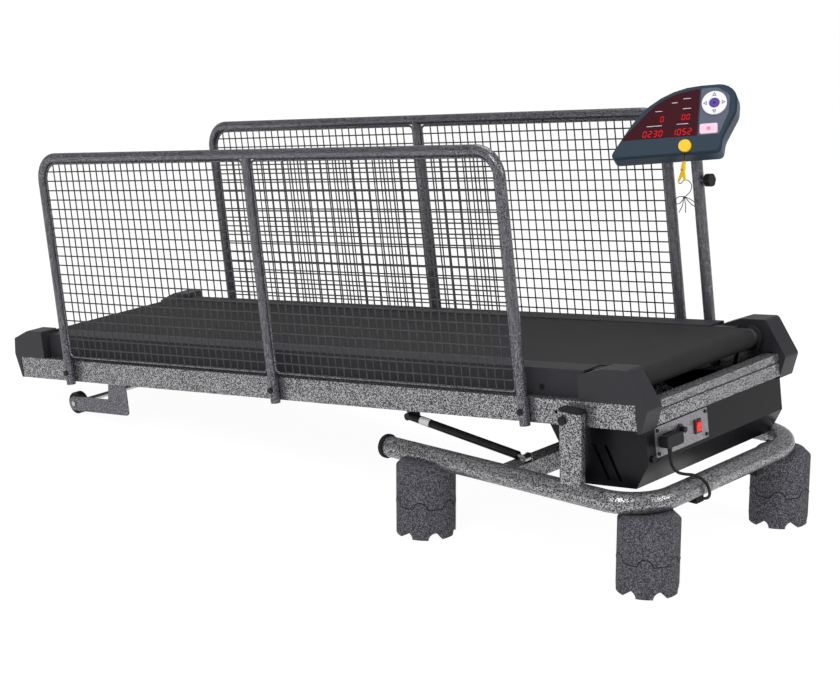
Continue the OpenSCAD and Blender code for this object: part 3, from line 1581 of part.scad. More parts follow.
// Cord from the key to the clip, round the clip's far end to the knot, the bow's loops and tails
key_cord = [[-83.2, 223, 503.1], [-81.2, 220, 498], [-80.6, 218.3, 491], [-81, 218, 482.3]];
arc_cord = [[-96, 220, 431.7], [-95, 220, 427], [-89, 220, 430], [-80, 221, 438], [-69, 221, 437],
            [-59, 220, 428], [-61, 219, 414], [-70, 218, 403], [-75, 218, 399]];
bow_left = [[-79, 218, 398], [-90, 216, 397], [-100, 215, 389], [-99, 216, 379], [-90, 220, 381],
            [-79, 220, 395]];
bow_right = [[-75, 217, 398], [-61, 216, 396], [-46, 215, 390], [-45, 216, 381], [-58, 220, 383],
             [-75, 220, 396]];
tail_left = [[-78, 217, 395], [-81, 217, 377], [-90, 217, 359]];
tail_right = [[-76, 218, 395], [-73, 218, 378], [-72, 218, 361]];
lanyard_steps = 3;

module clip_leg(tip, wide) {
    polygon(rounded([
        [clip_apex[0] - wide / 2, clip_apex[1], clip_round], [clip_apex[0] + wide / 2, clip_apex[1], clip_round],
        [clip_pin[0] + wide, clip_pin[1], 2 * clip_round], [tip[0] + wide / 2, tip[1], clip_round],
        [tip[0] - wide / 2, tip[1], clip_round], [clip_pin[0] - wide, clip_pin[1], 2 * clip_round]]));
}

clip_wide = 5;
clip_right_tip = [-75, 437];
clip_left_tip = [-96, 432];

module clip_body() {
    color("gold") on_base() {
        along_y(lanyard_y - clip_t - seat_gap, lanyard_y - seat_gap) clip_leg(clip_right_tip, clip_wide);
        translate([clip_pin[0], 0, clip_pin[1]])
            rod_y(clip_pin_d, lanyard_y - clip_t, lanyard_y + clip_t + overrun);
    }
}

module clip_lever() {
    color("gold") on_base() difference() {
        along_y(lanyard_y, lanyard_y + clip_t) clip_leg(clip_left_tip, clip_wide);
        translate([clip_pin[0], 0, clip_pin[1]])
            rod_y(clip_pin_d + 2 * run_gap, lanyard_y - overrun, lanyard_y + clip_t + overrun);
    }
}

module lanyard_cord() {
    color("black") on_base() {
        for (p = [key_cord, arc_cord, bow_left, bow_right, tail_left, tail_right])
            tube(spline(p, lanyard_steps), lanyard_d, lanyard_sides, [0, 1, 0.2]);
        translate(knot_at) sphere(r = knot_r);
    }
}

// Power lead: points chosen by hand in the level frame of the base

lead_route = [[200.2, -209.5, -69.7], [201.5, -209.2, -79], [203, -205.3, -91.5],
              [204.4, -196.5, -103.5], [206, -182.5, -113.5], [209.2, -163.6, -121],
              [217.8, -144.4, -126.1], [231.7, -130.9, -135.7], [240.8, -123.1, -149.2],
              [242.4, -114.2, -168.7], [232.8, -104.7, -185.3], [215.4, -96.2, -194.9],
              [198, -93, -198.9], [178, -96, -203.4], [163, -105, -209.7],
              [153.5, -116.5, -218.8], [149, -127, -230], [147, -136, -246],
              [147, -142, -265], [146.4, -144.6, -285.5], [144, -145.2, -303.4],
              [140, -141.6, -324.4], [134.4, -131, -342.4], [126.1, -114.6, -353.7],
              [116.8, -99.6, -357.8], [102.9, -82.9, -358.5], [95.2, -75.2, -358.5]];
lead_steps = 2;
lead_sides = 10;
coil_from = [95, -75];
coil_start = 45;
coil_at = coil_from - coil_r * [cos(coil_start), sin(coil_start)];
coil_tail = 40;
coil_sides = 6;
coil_rings = 24;
coil_gap = 0.6;
coil_lift = 1;

module power_cord() {
    color("black") on_base() tube(spline(lead_route, lead_steps), lead_d, lead_sides, [0, 1, 0.1]);
}

// Coil: in along the floor, up half a turn, and out again on top
coil_pitch = lead_d + coil_gap;
coil_span = 2 * coil_turns + 0.5;

function coil_point(turn) =
    let (inward = min(turn, coil_turns + 0.25), outward = max(turn - coil_turns - 0.25, 0))
    let (r = coil_r - coil_pitch * (inward - outward))
    let (climb = min(max(turn - coil_turns, 0), 0.5) / 0.5)
    let (a = coil_start + 360 * turn)
    [coil_at[0] + r * cos(a), coil_at[1] + r * sin(a), floor_z + lead_d / 2 + coil_lift + coil_pitch * climb];

coil_points = [for (i = [0:coil_span * coil_rings]) coil_point(i / coil_rings)];

// Least gap between the coil's turns, over points more than half a turn apart
coil_clear = min([for (i = [0:len(coil_points) - 1], j = [i + coil_rings / 2:1:len(coil_points) - 1])
    norm(coil_points[i] - coil_points[j])]) - lead_d;
echo(coil_least_gap = coil_clear);

// The last turn runs out straight to the plug
coil_way = [-sin(coil_start + 360 * coil_span), cos(coil_start + 360 * coil_span), 0];
coil_run = [for (i = [1:3]) coil_point(coil_span) + coil_way * coil_tail * i / 3];
coil_end = coil_run[2];

module cord_coil() {
    color("black") on_base() tube(concat(coil_points, coil_run), lead_d, coil_sides, [0, 0, 1]);
}

mains_d = 23;
mains_l = 38;
mains_grip_d = 14;
mains_grip_l = 22;
mains_pin_d = 4.8;
mains_pin_l = 19;
mains_pin_pitch = 19;

// Plug at the free end, in line with the coil's last turn
module mains_plug() {
    color("black") on_base() translate(coil_end + coil_way * seat_gap)
        rotate([0, 0, coil_start + 360 * coil_span + 180]) {
        rotate([90, 0, 0]) cylinder(d1 = grip_tip_d, d2 = mains_grip_d, h = mains_grip_l);
        rod_y(mains_d, -mains_grip_l - mains_l, -mains_grip_l);
        for (x = [-1, 1]) translate([x * mains_pin_pitch / 4, 0, 0])
            rod_y(mains_pin_d, -mains_grip_l - mains_l - mains_pin_l, -mains_grip_l - mains_l);
    }
}

plug_h = 26;
plug_t = 24;
plug_l = 60;
plug_past = 14;
plug_round = 6;
plug_nose = [15, 22, 15];
grip_d = 11;
grip_l = 22;
grip_tip_d = 8.6;
grip_y = 21;

// Right-angled connector: its nose sits in the inlet and the lead leaves downward
module power_plug() {
    nose = inlet_hole - 2 * [seat_gap + inlet_wall + key_gap, seat_gap + inlet_wall + key_gap];
    color("black") on_deck() on_front_wall()
        translate([3 * seat_gap + plate_t + inlet_flange[2], -plate_y - inlet_dy, plate_mid]) {
            rotate([90, 0, 90]) linear_extrude(height = plug_t) polygon(rounded([
                [plug_past - plug_l, -plug_h / 2, plug_round], [plug_past, -plug_h / 2, plug_round],
                [plug_past, plug_h / 2, plug_round], [plug_past - plug_l, plug_h / 2, plug_round]]));
            difference() {
                translate([-plug_nose[0] / 2 + overrun, 0, 0])
                    cube([plug_nose[0], nose[0], nose[1]], center = true);
                for (y = [-1, 0, 1])
                    translate([-plug_nose[0] / 2, y * inlet_hole[0] / 4, (y == 0 ? 1 : -1) * inlet_hole[1] / 8])
                        cube([plug_nose[0], inlet_pin[1] + 2 * key_gap, inlet_pin[2] + 2 * key_gap], center = true);
            }
            translate([plug_t / 2, plug_past - plug_l + grip_y, -plug_h / 2 - grip_l])
                cylinder(d1 = grip_tip_d, d2 = grip_d, h = grip_l + overrun);
        }
}

// Assembly

base_frame();
base_crossbar();
uprights();
base_caps_and_pads();
riser_tops();
riser_bottoms();
pivot_bolts();
strut_cylinder();
strut_rod();
side_rails();
front_crossbar();
deck_crossmembers();
deck_cushions();
deck_board();
side_trims();
deck_brackets();
deck_axles();
walking_belt();
front_roller();
rear_roller();
drive_motor();
motor_rotor();
drive_belt();
motor_controller();
motor_housing();
switch_plate();
power_inlet();
switch_bodies();
breaker_button();
rocker_switch();
rail_end_caps();
panel_frames();
right_mesh_rims();
left_mesh_rims();
right_mesh_wires();
left_mesh_wires();
deck_fasteners();
wheel_brackets();
right_wheel();
left_wheel();
mast();
clamp_knob();
console_post();
console_shell();
console_bezel();
display_lens();
keypad_panel();
console_board();
pad_gimbal();
four_way_pad();
start_key();
stop_key();
safety_key();
clip_body();
clip_lever();
lanyard_cord();
power_plug();
power_cord();
cord_coil();
mains_plug();
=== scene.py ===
"""Looks of a dog treadmill: finishes for its CAD pieces, its cords, the console's face and a plain studio."""

from __future__ import annotations

import json
import logging
import math
from dataclasses import dataclass, field
from enum import Enum
from typing import ClassVar, Mapping, Sequence, Union

import bmesh
import bpy
from mathutils import Matrix, Vector
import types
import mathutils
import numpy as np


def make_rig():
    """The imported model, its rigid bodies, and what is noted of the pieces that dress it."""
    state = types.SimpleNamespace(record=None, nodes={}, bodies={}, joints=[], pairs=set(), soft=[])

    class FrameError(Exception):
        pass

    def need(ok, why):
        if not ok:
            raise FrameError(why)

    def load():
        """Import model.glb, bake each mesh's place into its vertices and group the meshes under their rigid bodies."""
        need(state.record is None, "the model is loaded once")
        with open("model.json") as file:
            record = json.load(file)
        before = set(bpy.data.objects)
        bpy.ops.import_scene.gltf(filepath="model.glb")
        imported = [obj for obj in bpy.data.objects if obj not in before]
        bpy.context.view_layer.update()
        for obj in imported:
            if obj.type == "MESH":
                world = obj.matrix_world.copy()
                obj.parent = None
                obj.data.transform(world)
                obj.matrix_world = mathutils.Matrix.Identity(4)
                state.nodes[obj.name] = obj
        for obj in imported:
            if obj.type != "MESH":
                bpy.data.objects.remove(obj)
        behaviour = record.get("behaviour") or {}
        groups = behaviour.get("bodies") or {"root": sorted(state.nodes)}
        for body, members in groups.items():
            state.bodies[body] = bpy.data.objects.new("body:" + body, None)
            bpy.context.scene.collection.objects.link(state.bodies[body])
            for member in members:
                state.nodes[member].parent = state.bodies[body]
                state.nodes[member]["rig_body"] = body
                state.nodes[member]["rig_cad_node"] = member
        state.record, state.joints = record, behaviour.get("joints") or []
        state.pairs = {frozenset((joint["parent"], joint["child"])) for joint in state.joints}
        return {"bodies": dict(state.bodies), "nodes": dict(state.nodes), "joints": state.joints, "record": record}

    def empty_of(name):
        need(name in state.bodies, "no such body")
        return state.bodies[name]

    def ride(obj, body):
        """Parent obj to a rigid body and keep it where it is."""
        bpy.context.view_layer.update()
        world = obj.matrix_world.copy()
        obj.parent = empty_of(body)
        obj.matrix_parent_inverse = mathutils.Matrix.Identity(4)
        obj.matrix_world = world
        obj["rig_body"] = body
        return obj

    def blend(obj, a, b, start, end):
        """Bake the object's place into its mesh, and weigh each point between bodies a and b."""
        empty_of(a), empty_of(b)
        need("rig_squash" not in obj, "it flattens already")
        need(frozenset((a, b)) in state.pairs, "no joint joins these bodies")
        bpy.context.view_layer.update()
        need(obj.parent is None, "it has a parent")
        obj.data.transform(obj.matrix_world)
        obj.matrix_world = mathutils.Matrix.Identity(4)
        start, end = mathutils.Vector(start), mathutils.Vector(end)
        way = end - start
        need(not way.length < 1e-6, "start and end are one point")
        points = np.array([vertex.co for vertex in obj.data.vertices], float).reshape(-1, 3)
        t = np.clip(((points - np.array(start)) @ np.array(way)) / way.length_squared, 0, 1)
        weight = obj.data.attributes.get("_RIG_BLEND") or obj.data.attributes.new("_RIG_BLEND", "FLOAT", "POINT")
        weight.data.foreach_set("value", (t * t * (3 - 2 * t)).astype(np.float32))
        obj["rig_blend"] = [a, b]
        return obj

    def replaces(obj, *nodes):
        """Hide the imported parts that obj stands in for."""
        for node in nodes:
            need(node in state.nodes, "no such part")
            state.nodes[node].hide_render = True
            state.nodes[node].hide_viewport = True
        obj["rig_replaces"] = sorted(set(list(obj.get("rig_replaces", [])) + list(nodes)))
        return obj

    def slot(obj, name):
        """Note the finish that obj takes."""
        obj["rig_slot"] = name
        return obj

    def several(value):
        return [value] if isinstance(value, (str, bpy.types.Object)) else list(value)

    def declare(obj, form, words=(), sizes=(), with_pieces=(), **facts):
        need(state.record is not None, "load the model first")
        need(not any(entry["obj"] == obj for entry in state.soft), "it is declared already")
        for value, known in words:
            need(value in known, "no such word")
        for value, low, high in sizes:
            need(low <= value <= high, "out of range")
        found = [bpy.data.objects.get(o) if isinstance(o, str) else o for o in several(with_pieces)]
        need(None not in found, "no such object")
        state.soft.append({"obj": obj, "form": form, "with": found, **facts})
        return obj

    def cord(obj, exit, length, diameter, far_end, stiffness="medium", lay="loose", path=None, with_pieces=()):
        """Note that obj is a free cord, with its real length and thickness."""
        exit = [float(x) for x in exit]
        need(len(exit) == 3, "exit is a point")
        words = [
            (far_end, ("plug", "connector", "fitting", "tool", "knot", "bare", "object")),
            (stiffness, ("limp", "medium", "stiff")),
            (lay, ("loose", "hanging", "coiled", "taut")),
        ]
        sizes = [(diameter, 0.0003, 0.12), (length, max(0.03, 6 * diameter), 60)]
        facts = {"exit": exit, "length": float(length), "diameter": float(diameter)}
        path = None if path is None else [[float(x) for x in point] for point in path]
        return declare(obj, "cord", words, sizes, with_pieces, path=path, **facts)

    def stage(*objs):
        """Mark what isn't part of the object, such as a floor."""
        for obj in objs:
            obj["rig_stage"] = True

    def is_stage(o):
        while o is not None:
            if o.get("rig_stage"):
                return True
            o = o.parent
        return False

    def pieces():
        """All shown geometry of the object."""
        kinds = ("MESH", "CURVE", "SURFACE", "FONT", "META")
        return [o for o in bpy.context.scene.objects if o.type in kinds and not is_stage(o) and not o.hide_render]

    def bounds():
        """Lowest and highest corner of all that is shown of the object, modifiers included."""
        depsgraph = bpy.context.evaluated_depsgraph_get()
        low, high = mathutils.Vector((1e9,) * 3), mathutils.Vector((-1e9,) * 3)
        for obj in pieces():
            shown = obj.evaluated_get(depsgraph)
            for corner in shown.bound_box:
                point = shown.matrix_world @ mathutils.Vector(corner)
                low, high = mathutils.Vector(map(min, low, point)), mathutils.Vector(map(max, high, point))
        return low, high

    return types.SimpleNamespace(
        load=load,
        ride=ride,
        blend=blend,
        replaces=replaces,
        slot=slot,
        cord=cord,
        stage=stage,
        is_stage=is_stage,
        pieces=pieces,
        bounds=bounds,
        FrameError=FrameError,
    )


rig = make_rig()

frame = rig.load()
CAD_BOX = [list(corner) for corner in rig.bounds()]
SIZE_FILE = "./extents.json"
MM = 0.001  # metres
WELD = 0.001 * MM  # vertices closer than this become one
STEEP = 0.8  # rise of a direction that counts as upright
WAVE_STEP = 0.31415  # scale of a wave texture with its bands a metre apart

log = logging.getLogger("treadmill")

Colour = tuple[float, float, float]
Point = tuple[float, float, float]
Flat = tuple[float, float]
Operand = Union[float, "Term"]
Faces = list[list[int]]
Material = bpy.types.Material
Piece = bpy.types.Object


# ---------------------------------------------------------------------------
# Shader maths
# ---------------------------------------------------------------------------


class Term:
    """One value of a shader: a socket on which Python's operators add Math nodes."""

    def __init__(self, graph: Graph, socket: bpy.types.NodeSocket | None) -> None:
        """Wrap a socket of a graph."""
        self.graph = graph
        self.socket = socket

    def _math(self, operation: str, first: Operand, second: Operand) -> Term:
        """Add one Math node.

        Args:
            operation: Blender's name of the sum.
            first: left-hand value.
            second: right-hand value.

        Returns:
            The node's result.
        """
        return self.graph.node("ShaderNodeMath", {"operation": operation}, {0: first, 1: second})

    def __add__(self, other: Operand) -> Term:
        """self + other."""
        return self._math("ADD", self, other)

    def __radd__(self, other: Operand) -> Term:
        """other + self."""
        return self._math("ADD", other, self)

    def __sub__(self, other: Operand) -> Term:
        """self - other."""
        return self._math("SUBTRACT", self, other)

    def __rsub__(self, other: Operand) -> Term:
        """other - self."""
        return self._math("SUBTRACT", other, self)

    def __mul__(self, other: Operand) -> Term:
        """self * other."""
        return self._math("MULTIPLY", self, other)

    def __rmul__(self, other: Operand) -> Term:
        """other * self."""
        return self._math("MULTIPLY", other, self)


class Graph:
    """The nodes of one material, made through a single method."""

    def __init__(self, name: str) -> None:
        """Start an empty material.

        Args:
            name: the material's name.
        """
        self.material = bpy.data.materials.new(name)
        self.material.use_nodes = True
        self.tree = self.material.node_tree
        self.tree.nodes.clear()

    def node(
        self,
        kind: str,
        settings: Mapping[str, object] | None = None,
        inputs: Mapping[object, object] | None = None,
        output: int | str = 0,
    ) -> Term:
        """Add a node.

        Args:
            kind: Blender's node type.
            settings: properties, which are set before the sockets.
            inputs: values or terms, by socket name or number.
            output: which output the term stands for.

        Returns:
            The chosen output, without a socket where the node has none.
        """
        made = self.tree.nodes.new(kind)
        for name, value in (settings or {}).items():
            setattr(made, name, value)
        for name, value in (inputs or {}).items():
            if isinstance(value, Term):
                self.tree.links.new(value.socket, made.inputs[name])
            else:
                made.inputs[name].default_value = value
        return Term(self, made.outputs[output] if made.outputs else None)

    def place(self) -> Term:
        """Coordinates in metres that stay with the piece."""
        return self.node("ShaderNodeTexCoord", output="Object")

    def stretched(self, scale: Point) -> Term:
        """Coordinates scaled on each axis."""
        return self.node("ShaderNodeMapping", {}, {"Vector": self.place(), "Scale": scale})

    def noise(self, size: float, detail: float = 2.0, where: Term | None = None, rough: float = 0.5) -> Term:
        """Soft noise.

        Args:
            size: distance from one blotch to the next, in metres.
            detail: number of finer layers.
            where: coordinates, or None for the piece's own.
            rough: strength of the finer layers.

        Returns:
            The noise, from 0 to 1.
        """
        inputs = {"Vector": where or self.place(), "Scale": 1.0 / size, "Detail": detail, "Roughness": rough}
        return self.node("ShaderNodeTexNoise", {}, inputs)

    def cells(self, size: float, where: Term | None = None, output: str = "Distance") -> Term:
        """Cell pattern.

        Args:
            size: distance from one cell to the next, in metres.
            where: coordinates, or None for the piece's own.
            output: "Distance" or "Color".

        Returns:
            The pattern.
        """
        inputs = {"Vector": where or self.place(), "Scale": 1.0 / size}
        return self.node("ShaderNodeTexVoronoi", {}, inputs, output)

    def band(self, value: Term, low: float, high: float) -> Term:
        """A smooth step of value, 0 at low and 1 at high."""
        settings = {"interpolation_type": "SMOOTHSTEP"}
        return self.node("ShaderNodeMapRange", settings, {"Value": value, "From Min": low, "From Max": high})

    def mix(self, share: Operand, first: object, second: object) -> Term:
        """Colour between two others.

        Args:
            share: 0 for first, 1 for second.
            first: colour or term.
            second: colour or term.

        Returns:
            The mixed colour.
        """
        ends = [(*c, 1.0) if isinstance(c, tuple) else c for c in (first, second)]
        return self.node("ShaderNodeMix", {"data_type": "RGBA"}, {0: share, 6: ends[0], 7: ends[1]}, 2)

    def warped(self, size: float, reach: float) -> Term:
        """Coordinates pushed about by noise.

        Args:
            size: size of the noise, in metres.
            reach: how far a point may move, in metres.

        Returns:
            The coordinates.
        """
        inputs = {"Vector": self.place(), "Scale": 1.0 / size, "Detail": 1.0}
        push = self.node("ShaderNodeTexNoise", {}, inputs, "Color")
        scaled = self.node("ShaderNodeVectorMath", {"operation": "SCALE"}, {0: push, "Scale": reach})
        return self.node("ShaderNodeVectorMath", {"operation": "ADD"}, {0: self.place(), 1: scaled})

    def bump(self, height: Term, deep: float, strength: float = 1.0) -> Term:
        """Surface direction from a height.

        Args:
            height: the relief, from 0 to 1.
            deep: its depth in metres.
            strength: share of the effect.

        Returns:
            The normal.
        """
        return self.node("ShaderNodeBump", {}, {"Strength": strength, "Distance": deep, "Height": height})

    def surface(self, **sockets: object) -> Material:
        """Close the material with one shader.

        Args:
            sockets: values or terms, with _ for a space in the socket's name.

        Returns:
            The finished material.
        """
        inputs = {}
        for name, value in sockets.items():
            socket = name.replace("_", " ")
            inputs[socket] = (*value, 1.0) if isinstance(value, tuple) else value
        shader = self.node("ShaderNodeBsdfPrincipled", {}, inputs)
        self.node("ShaderNodeOutputMaterial", {}, {"Surface": shader})
        return self.material


# ---------------------------------------------------------------------------
# Finishes
# ---------------------------------------------------------------------------


def shade(colour: Colour, share: float, lift: float = 0.0) -> Colour:
    """A colour made lighter or darker, up to white."""
    return tuple(min(1.0, c * share + lift) for c in colour)


@dataclass(frozen=True)
class Finish:
    """A finish of the treadmill: its name, and one material made when it is first asked for."""

    name: str

    made: ClassVar[dict[str, Material]] = {}

    def material(self) -> Material:
        """The finish's material.

        Returns:
            One material, shared by all pieces that wear it.
        """
        if self.name not in Finish.made:
            Finish.made[self.name] = self.build(Graph(self.name))
        return Finish.made[self.name]

    def build(self, g: Graph) -> Material:
        """Make the material.

        Args:
            g: the material's empty graph.

        Returns:
            The material.
        """
        raise NotImplementedError


@dataclass(frozen=True)
class HammerPaint(Finish):
    """Hammered powder coat: dark enamel broken by bright flecks, with a soft relief."""

    dark: Colour = (0.011, 0.011, 0.012)
    fleck: Colour = (0.4, 0.392, 0.41)
    size: float = 0.0033
    amount: float = 0.49
    shine: float = 0.4
    soft: float = 0.15
    metal: float = 0.7
    rough: float = 0.36
    polish: float = 0.12
    deep: float = 0.0004

    def build(self, g: Graph) -> Material:
        """Make the paint.

        Args:
            g: the material's empty graph.

        Returns:
            The material.
        """
        where = g.warped(self.size * 1.6, self.size * 1.3)
        cells = g.cells(self.size, where)
        fine = g.noise(self.size * 0.45, 2.0)
        patch = g.noise(self.size * 9.0, 1.0)
        relief = cells * 0.75 + fine * 0.35
        mask = g.band(relief + (patch - 0.5) * 0.08, self.amount, self.amount + self.soft)
        return g.surface(
            Base_Color=g.mix(mask, self.dark, self.fleck),
            Metallic=mask * self.metal,
            Roughness=self.rough - mask * self.polish,
            Normal=g.bump(relief, self.deep, 0.7),
            Specular_IOR_Level=self.shine,
        )


@dataclass(frozen=True)
class MouldedPlastic(Finish):
    """Moulded plastic with a spark-eroded grain and faint handling marks."""

    colour: Colour = (0.012, 0.012, 0.013)
    rough: float = 0.5
    grain: float = 0.0009
    deep: float = 0.00006
    spread: float = 0.25
    shine: float = 0.2
    smear: float = 0.06

    def build(self, g: Graph) -> Material:
        """Make the plastic.

        Args:
            g: the material's empty graph.

        Returns:
            The material.
        """
        grain = g.cells(self.grain)
        cloud = g.noise(self.smear, 3.0)
        return g.surface(
            Base_Color=g.mix(cloud, self.colour, shade(self.colour, 1.0 + self.spread)),
            Roughness=self.rough + (cloud - 0.5) * 0.16,
            Normal=g.bump(grain, self.deep, 0.7),
            Specular_IOR_Level=self.shine,
        )


@dataclass(frozen=True)
class GlossPlastic(Finish):
    """Smooth coloured plastic with a faint wave in its gloss."""

    colour: Colour = (0.8, 0.8, 0.82)
    rough: float = 0.28
    shine: float = 0.3
    smear: float = 0.012
    ripple: float = 0.004
    deep: float = 0.00003

    def build(self, g: Graph) -> Material:
        """Make the plastic.

        Args:
            g: the material's empty graph.

        Returns:
            The material.
        """
        cloud = g.noise(self.smear, 2.0)
        return g.surface(
            Base_Color=g.mix(cloud, shade(self.colour, 0.9), self.colour),
            Roughness=self.rough + (cloud - 0.5) * 0.1,
            Normal=g.bump(g.noise(self.ripple, 1.0), self.deep, 0.5),
            Specular_IOR_Level=self.shine,
        )


@dataclass(frozen=True)
class RiserFoam(Finish):
    """Bonded foam: crumbs of dark and blue-grey rubber with open pores, the pores darkened with painted shade."""

    dark: Colour = (0.046, 0.045, 0.053)
    light: Colour = (0.205, 0.203, 0.232)
    crumb: float = 0.0018
    deep: float = 0.0007

    def build(self, g: Graph) -> Material:
        """Make the foam.

        Args:
            g: the material's empty graph.

        Returns:
            The material.
        """
        where = g.warped(self.crumb * 1.5, self.crumb)
        tone = g.node("ShaderNodeSeparateColor", {}, {0: g.cells(self.crumb, where, "Color")})
        pores = g.cells(self.crumb * 0.6)
        lit = g.band(tone, 0.45, 0.85)
        # Painted shade: the colour goes dark in the foam's pores, where the bump dips.
        pore_shade = g.band(pores, 0.15, 0.5)
        return g.surface(
            Base_Color=g.mix(lit * pore_shade, self.dark, self.light),
            Roughness=0.97 - lit * 0.12,
            Normal=g.bump(tone * 0.5 + pores, self.deep, 0.8),
            Specular_IOR_Level=0.15,
        )


@dataclass(frozen=True)
class BeltWeave(Finish):
    """Treadmill belt: black coated cloth with a fine diamond grain and rubbed, dusty streaks along it."""

    colour: Colour = (0.0125, 0.0125, 0.0135)
    worn: Colour = (0.024, 0.024, 0.026)
    pitch: float = 0.0021
    grit: float = 0.0012
    streak: float = 0.09
    deep: float = 0.00025

    def build(self, g: Graph) -> Material:
        """Make the belt's cloth.

        Args:
            g: the material's empty graph.

        Returns:
            The material.
        """
        slant = (0.0, 0.0, math.radians(45))
        turn = g.node("ShaderNodeMapping", {}, {"Vector": g.place(), "Rotation": slant})
        ribs = {"Vector": turn, "Scale": WAVE_STEP / self.pitch}
        one, two = (g.node("ShaderNodeTexWave", {"bands_direction": way}, ribs, "Fac") for way in "XY")
        dust = g.noise(self.streak, 4.0, g.stretched((0.25, 1.0, 1.0)))
        grit = g.noise(self.grit, 2.0)
        return g.surface(
            Base_Color=g.mix(g.band(dust, 0.35, 0.8) * 0.6 + grit * 0.25, self.colour, self.worn),
            Roughness=0.72 + (dust - 0.5) * 0.2,
            Normal=g.bump(one * two * 0.6 + grit * 0.5, self.deep, 0.6),
            Specular_IOR_Level=0.25,
        )


@dataclass(frozen=True)
class BrushedSteel(Finish):
    """Bright turned or drawn steel with fine lines."""

    colour: Colour = (0.55, 0.55, 0.56)
    rough: float = 0.3
    line: float = 0.004
    deep: float = 0.00004

    def build(self, g: Graph) -> Material:
        """Make the steel.

        Args:
            g: the material's empty graph.

        Returns:
            The material.
        """
        lines = g.noise(self.line, 4.0, g.stretched((1.0, 0.02, 1.0)))
        return g.surface(
            Base_Color=g.mix(lines, shade(self.colour, 0.7), self.colour),
            Metallic=1.0,
            Roughness=self.rough + (lines - 0.5) * 0.2,
            Normal=g.bump(lines, self.deep, 0.5),
        )


@dataclass(frozen=True)
class SatinPaint(Finish):
    """Plain enamel on metal, a little dusty."""

    colour: Colour = (0.02, 0.02, 0.022)
    rough: float = 0.4
    metallic: float = 0.0
    dust: float = 0.02
    peel: float = 0.0012
    deep: float = 0.00004

    def build(self, g: Graph) -> Material:
        """Make the enamel.

        Args:
            g: the material's empty graph.

        Returns:
            The material.
        """
        cloud = g.noise(self.dust, 3.0)
        return g.surface(
            Base_Color=g.mix(g.band(cloud, 0.4, 0.8), self.colour, shade(self.colour, 1.4, 0.004)),
            Roughness=self.rough + (cloud - 0.5) * 0.18,
            Metallic=self.metallic,
            Normal=g.bump(g.noise(self.peel, 2.0), self.deep, 0.5),
            Specular_IOR_Level=0.3,
        )


@dataclass(frozen=True)
class WaxedBoard(Finish):
    """Dark coated fibre board of the running deck."""

    colour: Colour = (0.011, 0.01, 0.009)
    fibre: float = 0.02
    deep: float = 0.0001

    def build(self, g: Graph) -> Material:
        """Make the board's coat.

        Args:
            g: the material's empty graph.

        Returns:
            The material.
        """
        fibre = g.noise(self.fibre, 5.0, g.stretched((0.12, 1.0, 1.0)))
        return g.surface(
            Base_Color=g.mix(fibre, self.colour, shade(self.colour, 1.8)),
            Roughness=0.5 + (fibre - 0.5) * 0.3,
            Normal=g.bump(fibre, self.deep, 0.5),
        )


@dataclass(frozen=True)
class BraidedCord(Finish):
    """Thin braided cord: small crossing strands."""

    colour: Colour = (0.008, 0.008, 0.009)
    strand: float = 0.0007
    deep: float = 0.0002

    def build(self, g: Graph) -> Material:
        """Make the braid.

        Args:
            g: the material's empty graph.

        Returns:
            The material.
        """
        strands = g.cells(self.strand)
        return g.surface(
            Base_Color=g.mix(strands, self.colour, shade(self.colour, 3.0)),
            Roughness=0.8 + (strands - 0.5) * 0.2,
            Normal=g.bump(strands, self.deep, 0.8),
            Specular_IOR_Level=0.1,
        )


@dataclass(frozen=True)
class LampSegment(Finish):
    """Lit red bar of a number display, uneven in its glow."""

    colour: Colour = (0.9, 0.012, 0.02)
    glow: float = 0.42
    flicker: float = 0.003

    def build(self, g: Graph) -> Material:
        """Make the lit plastic.

        Args:
            g: the material's empty graph.

        Returns:
            The material.
        """
        flicker = g.noise(self.flicker, 1.0)
        dim = shade(self.colour, 0.45)
        return g.surface(
            Base_Color=dim,
            Roughness=0.35 + flicker * 0.1,
            Emission_Color=g.mix(g.band(flicker, 0.2, 0.8), dim, self.colour),
            Emission_Strength=self.glow,
            Specular_IOR_Level=0.1,
        )


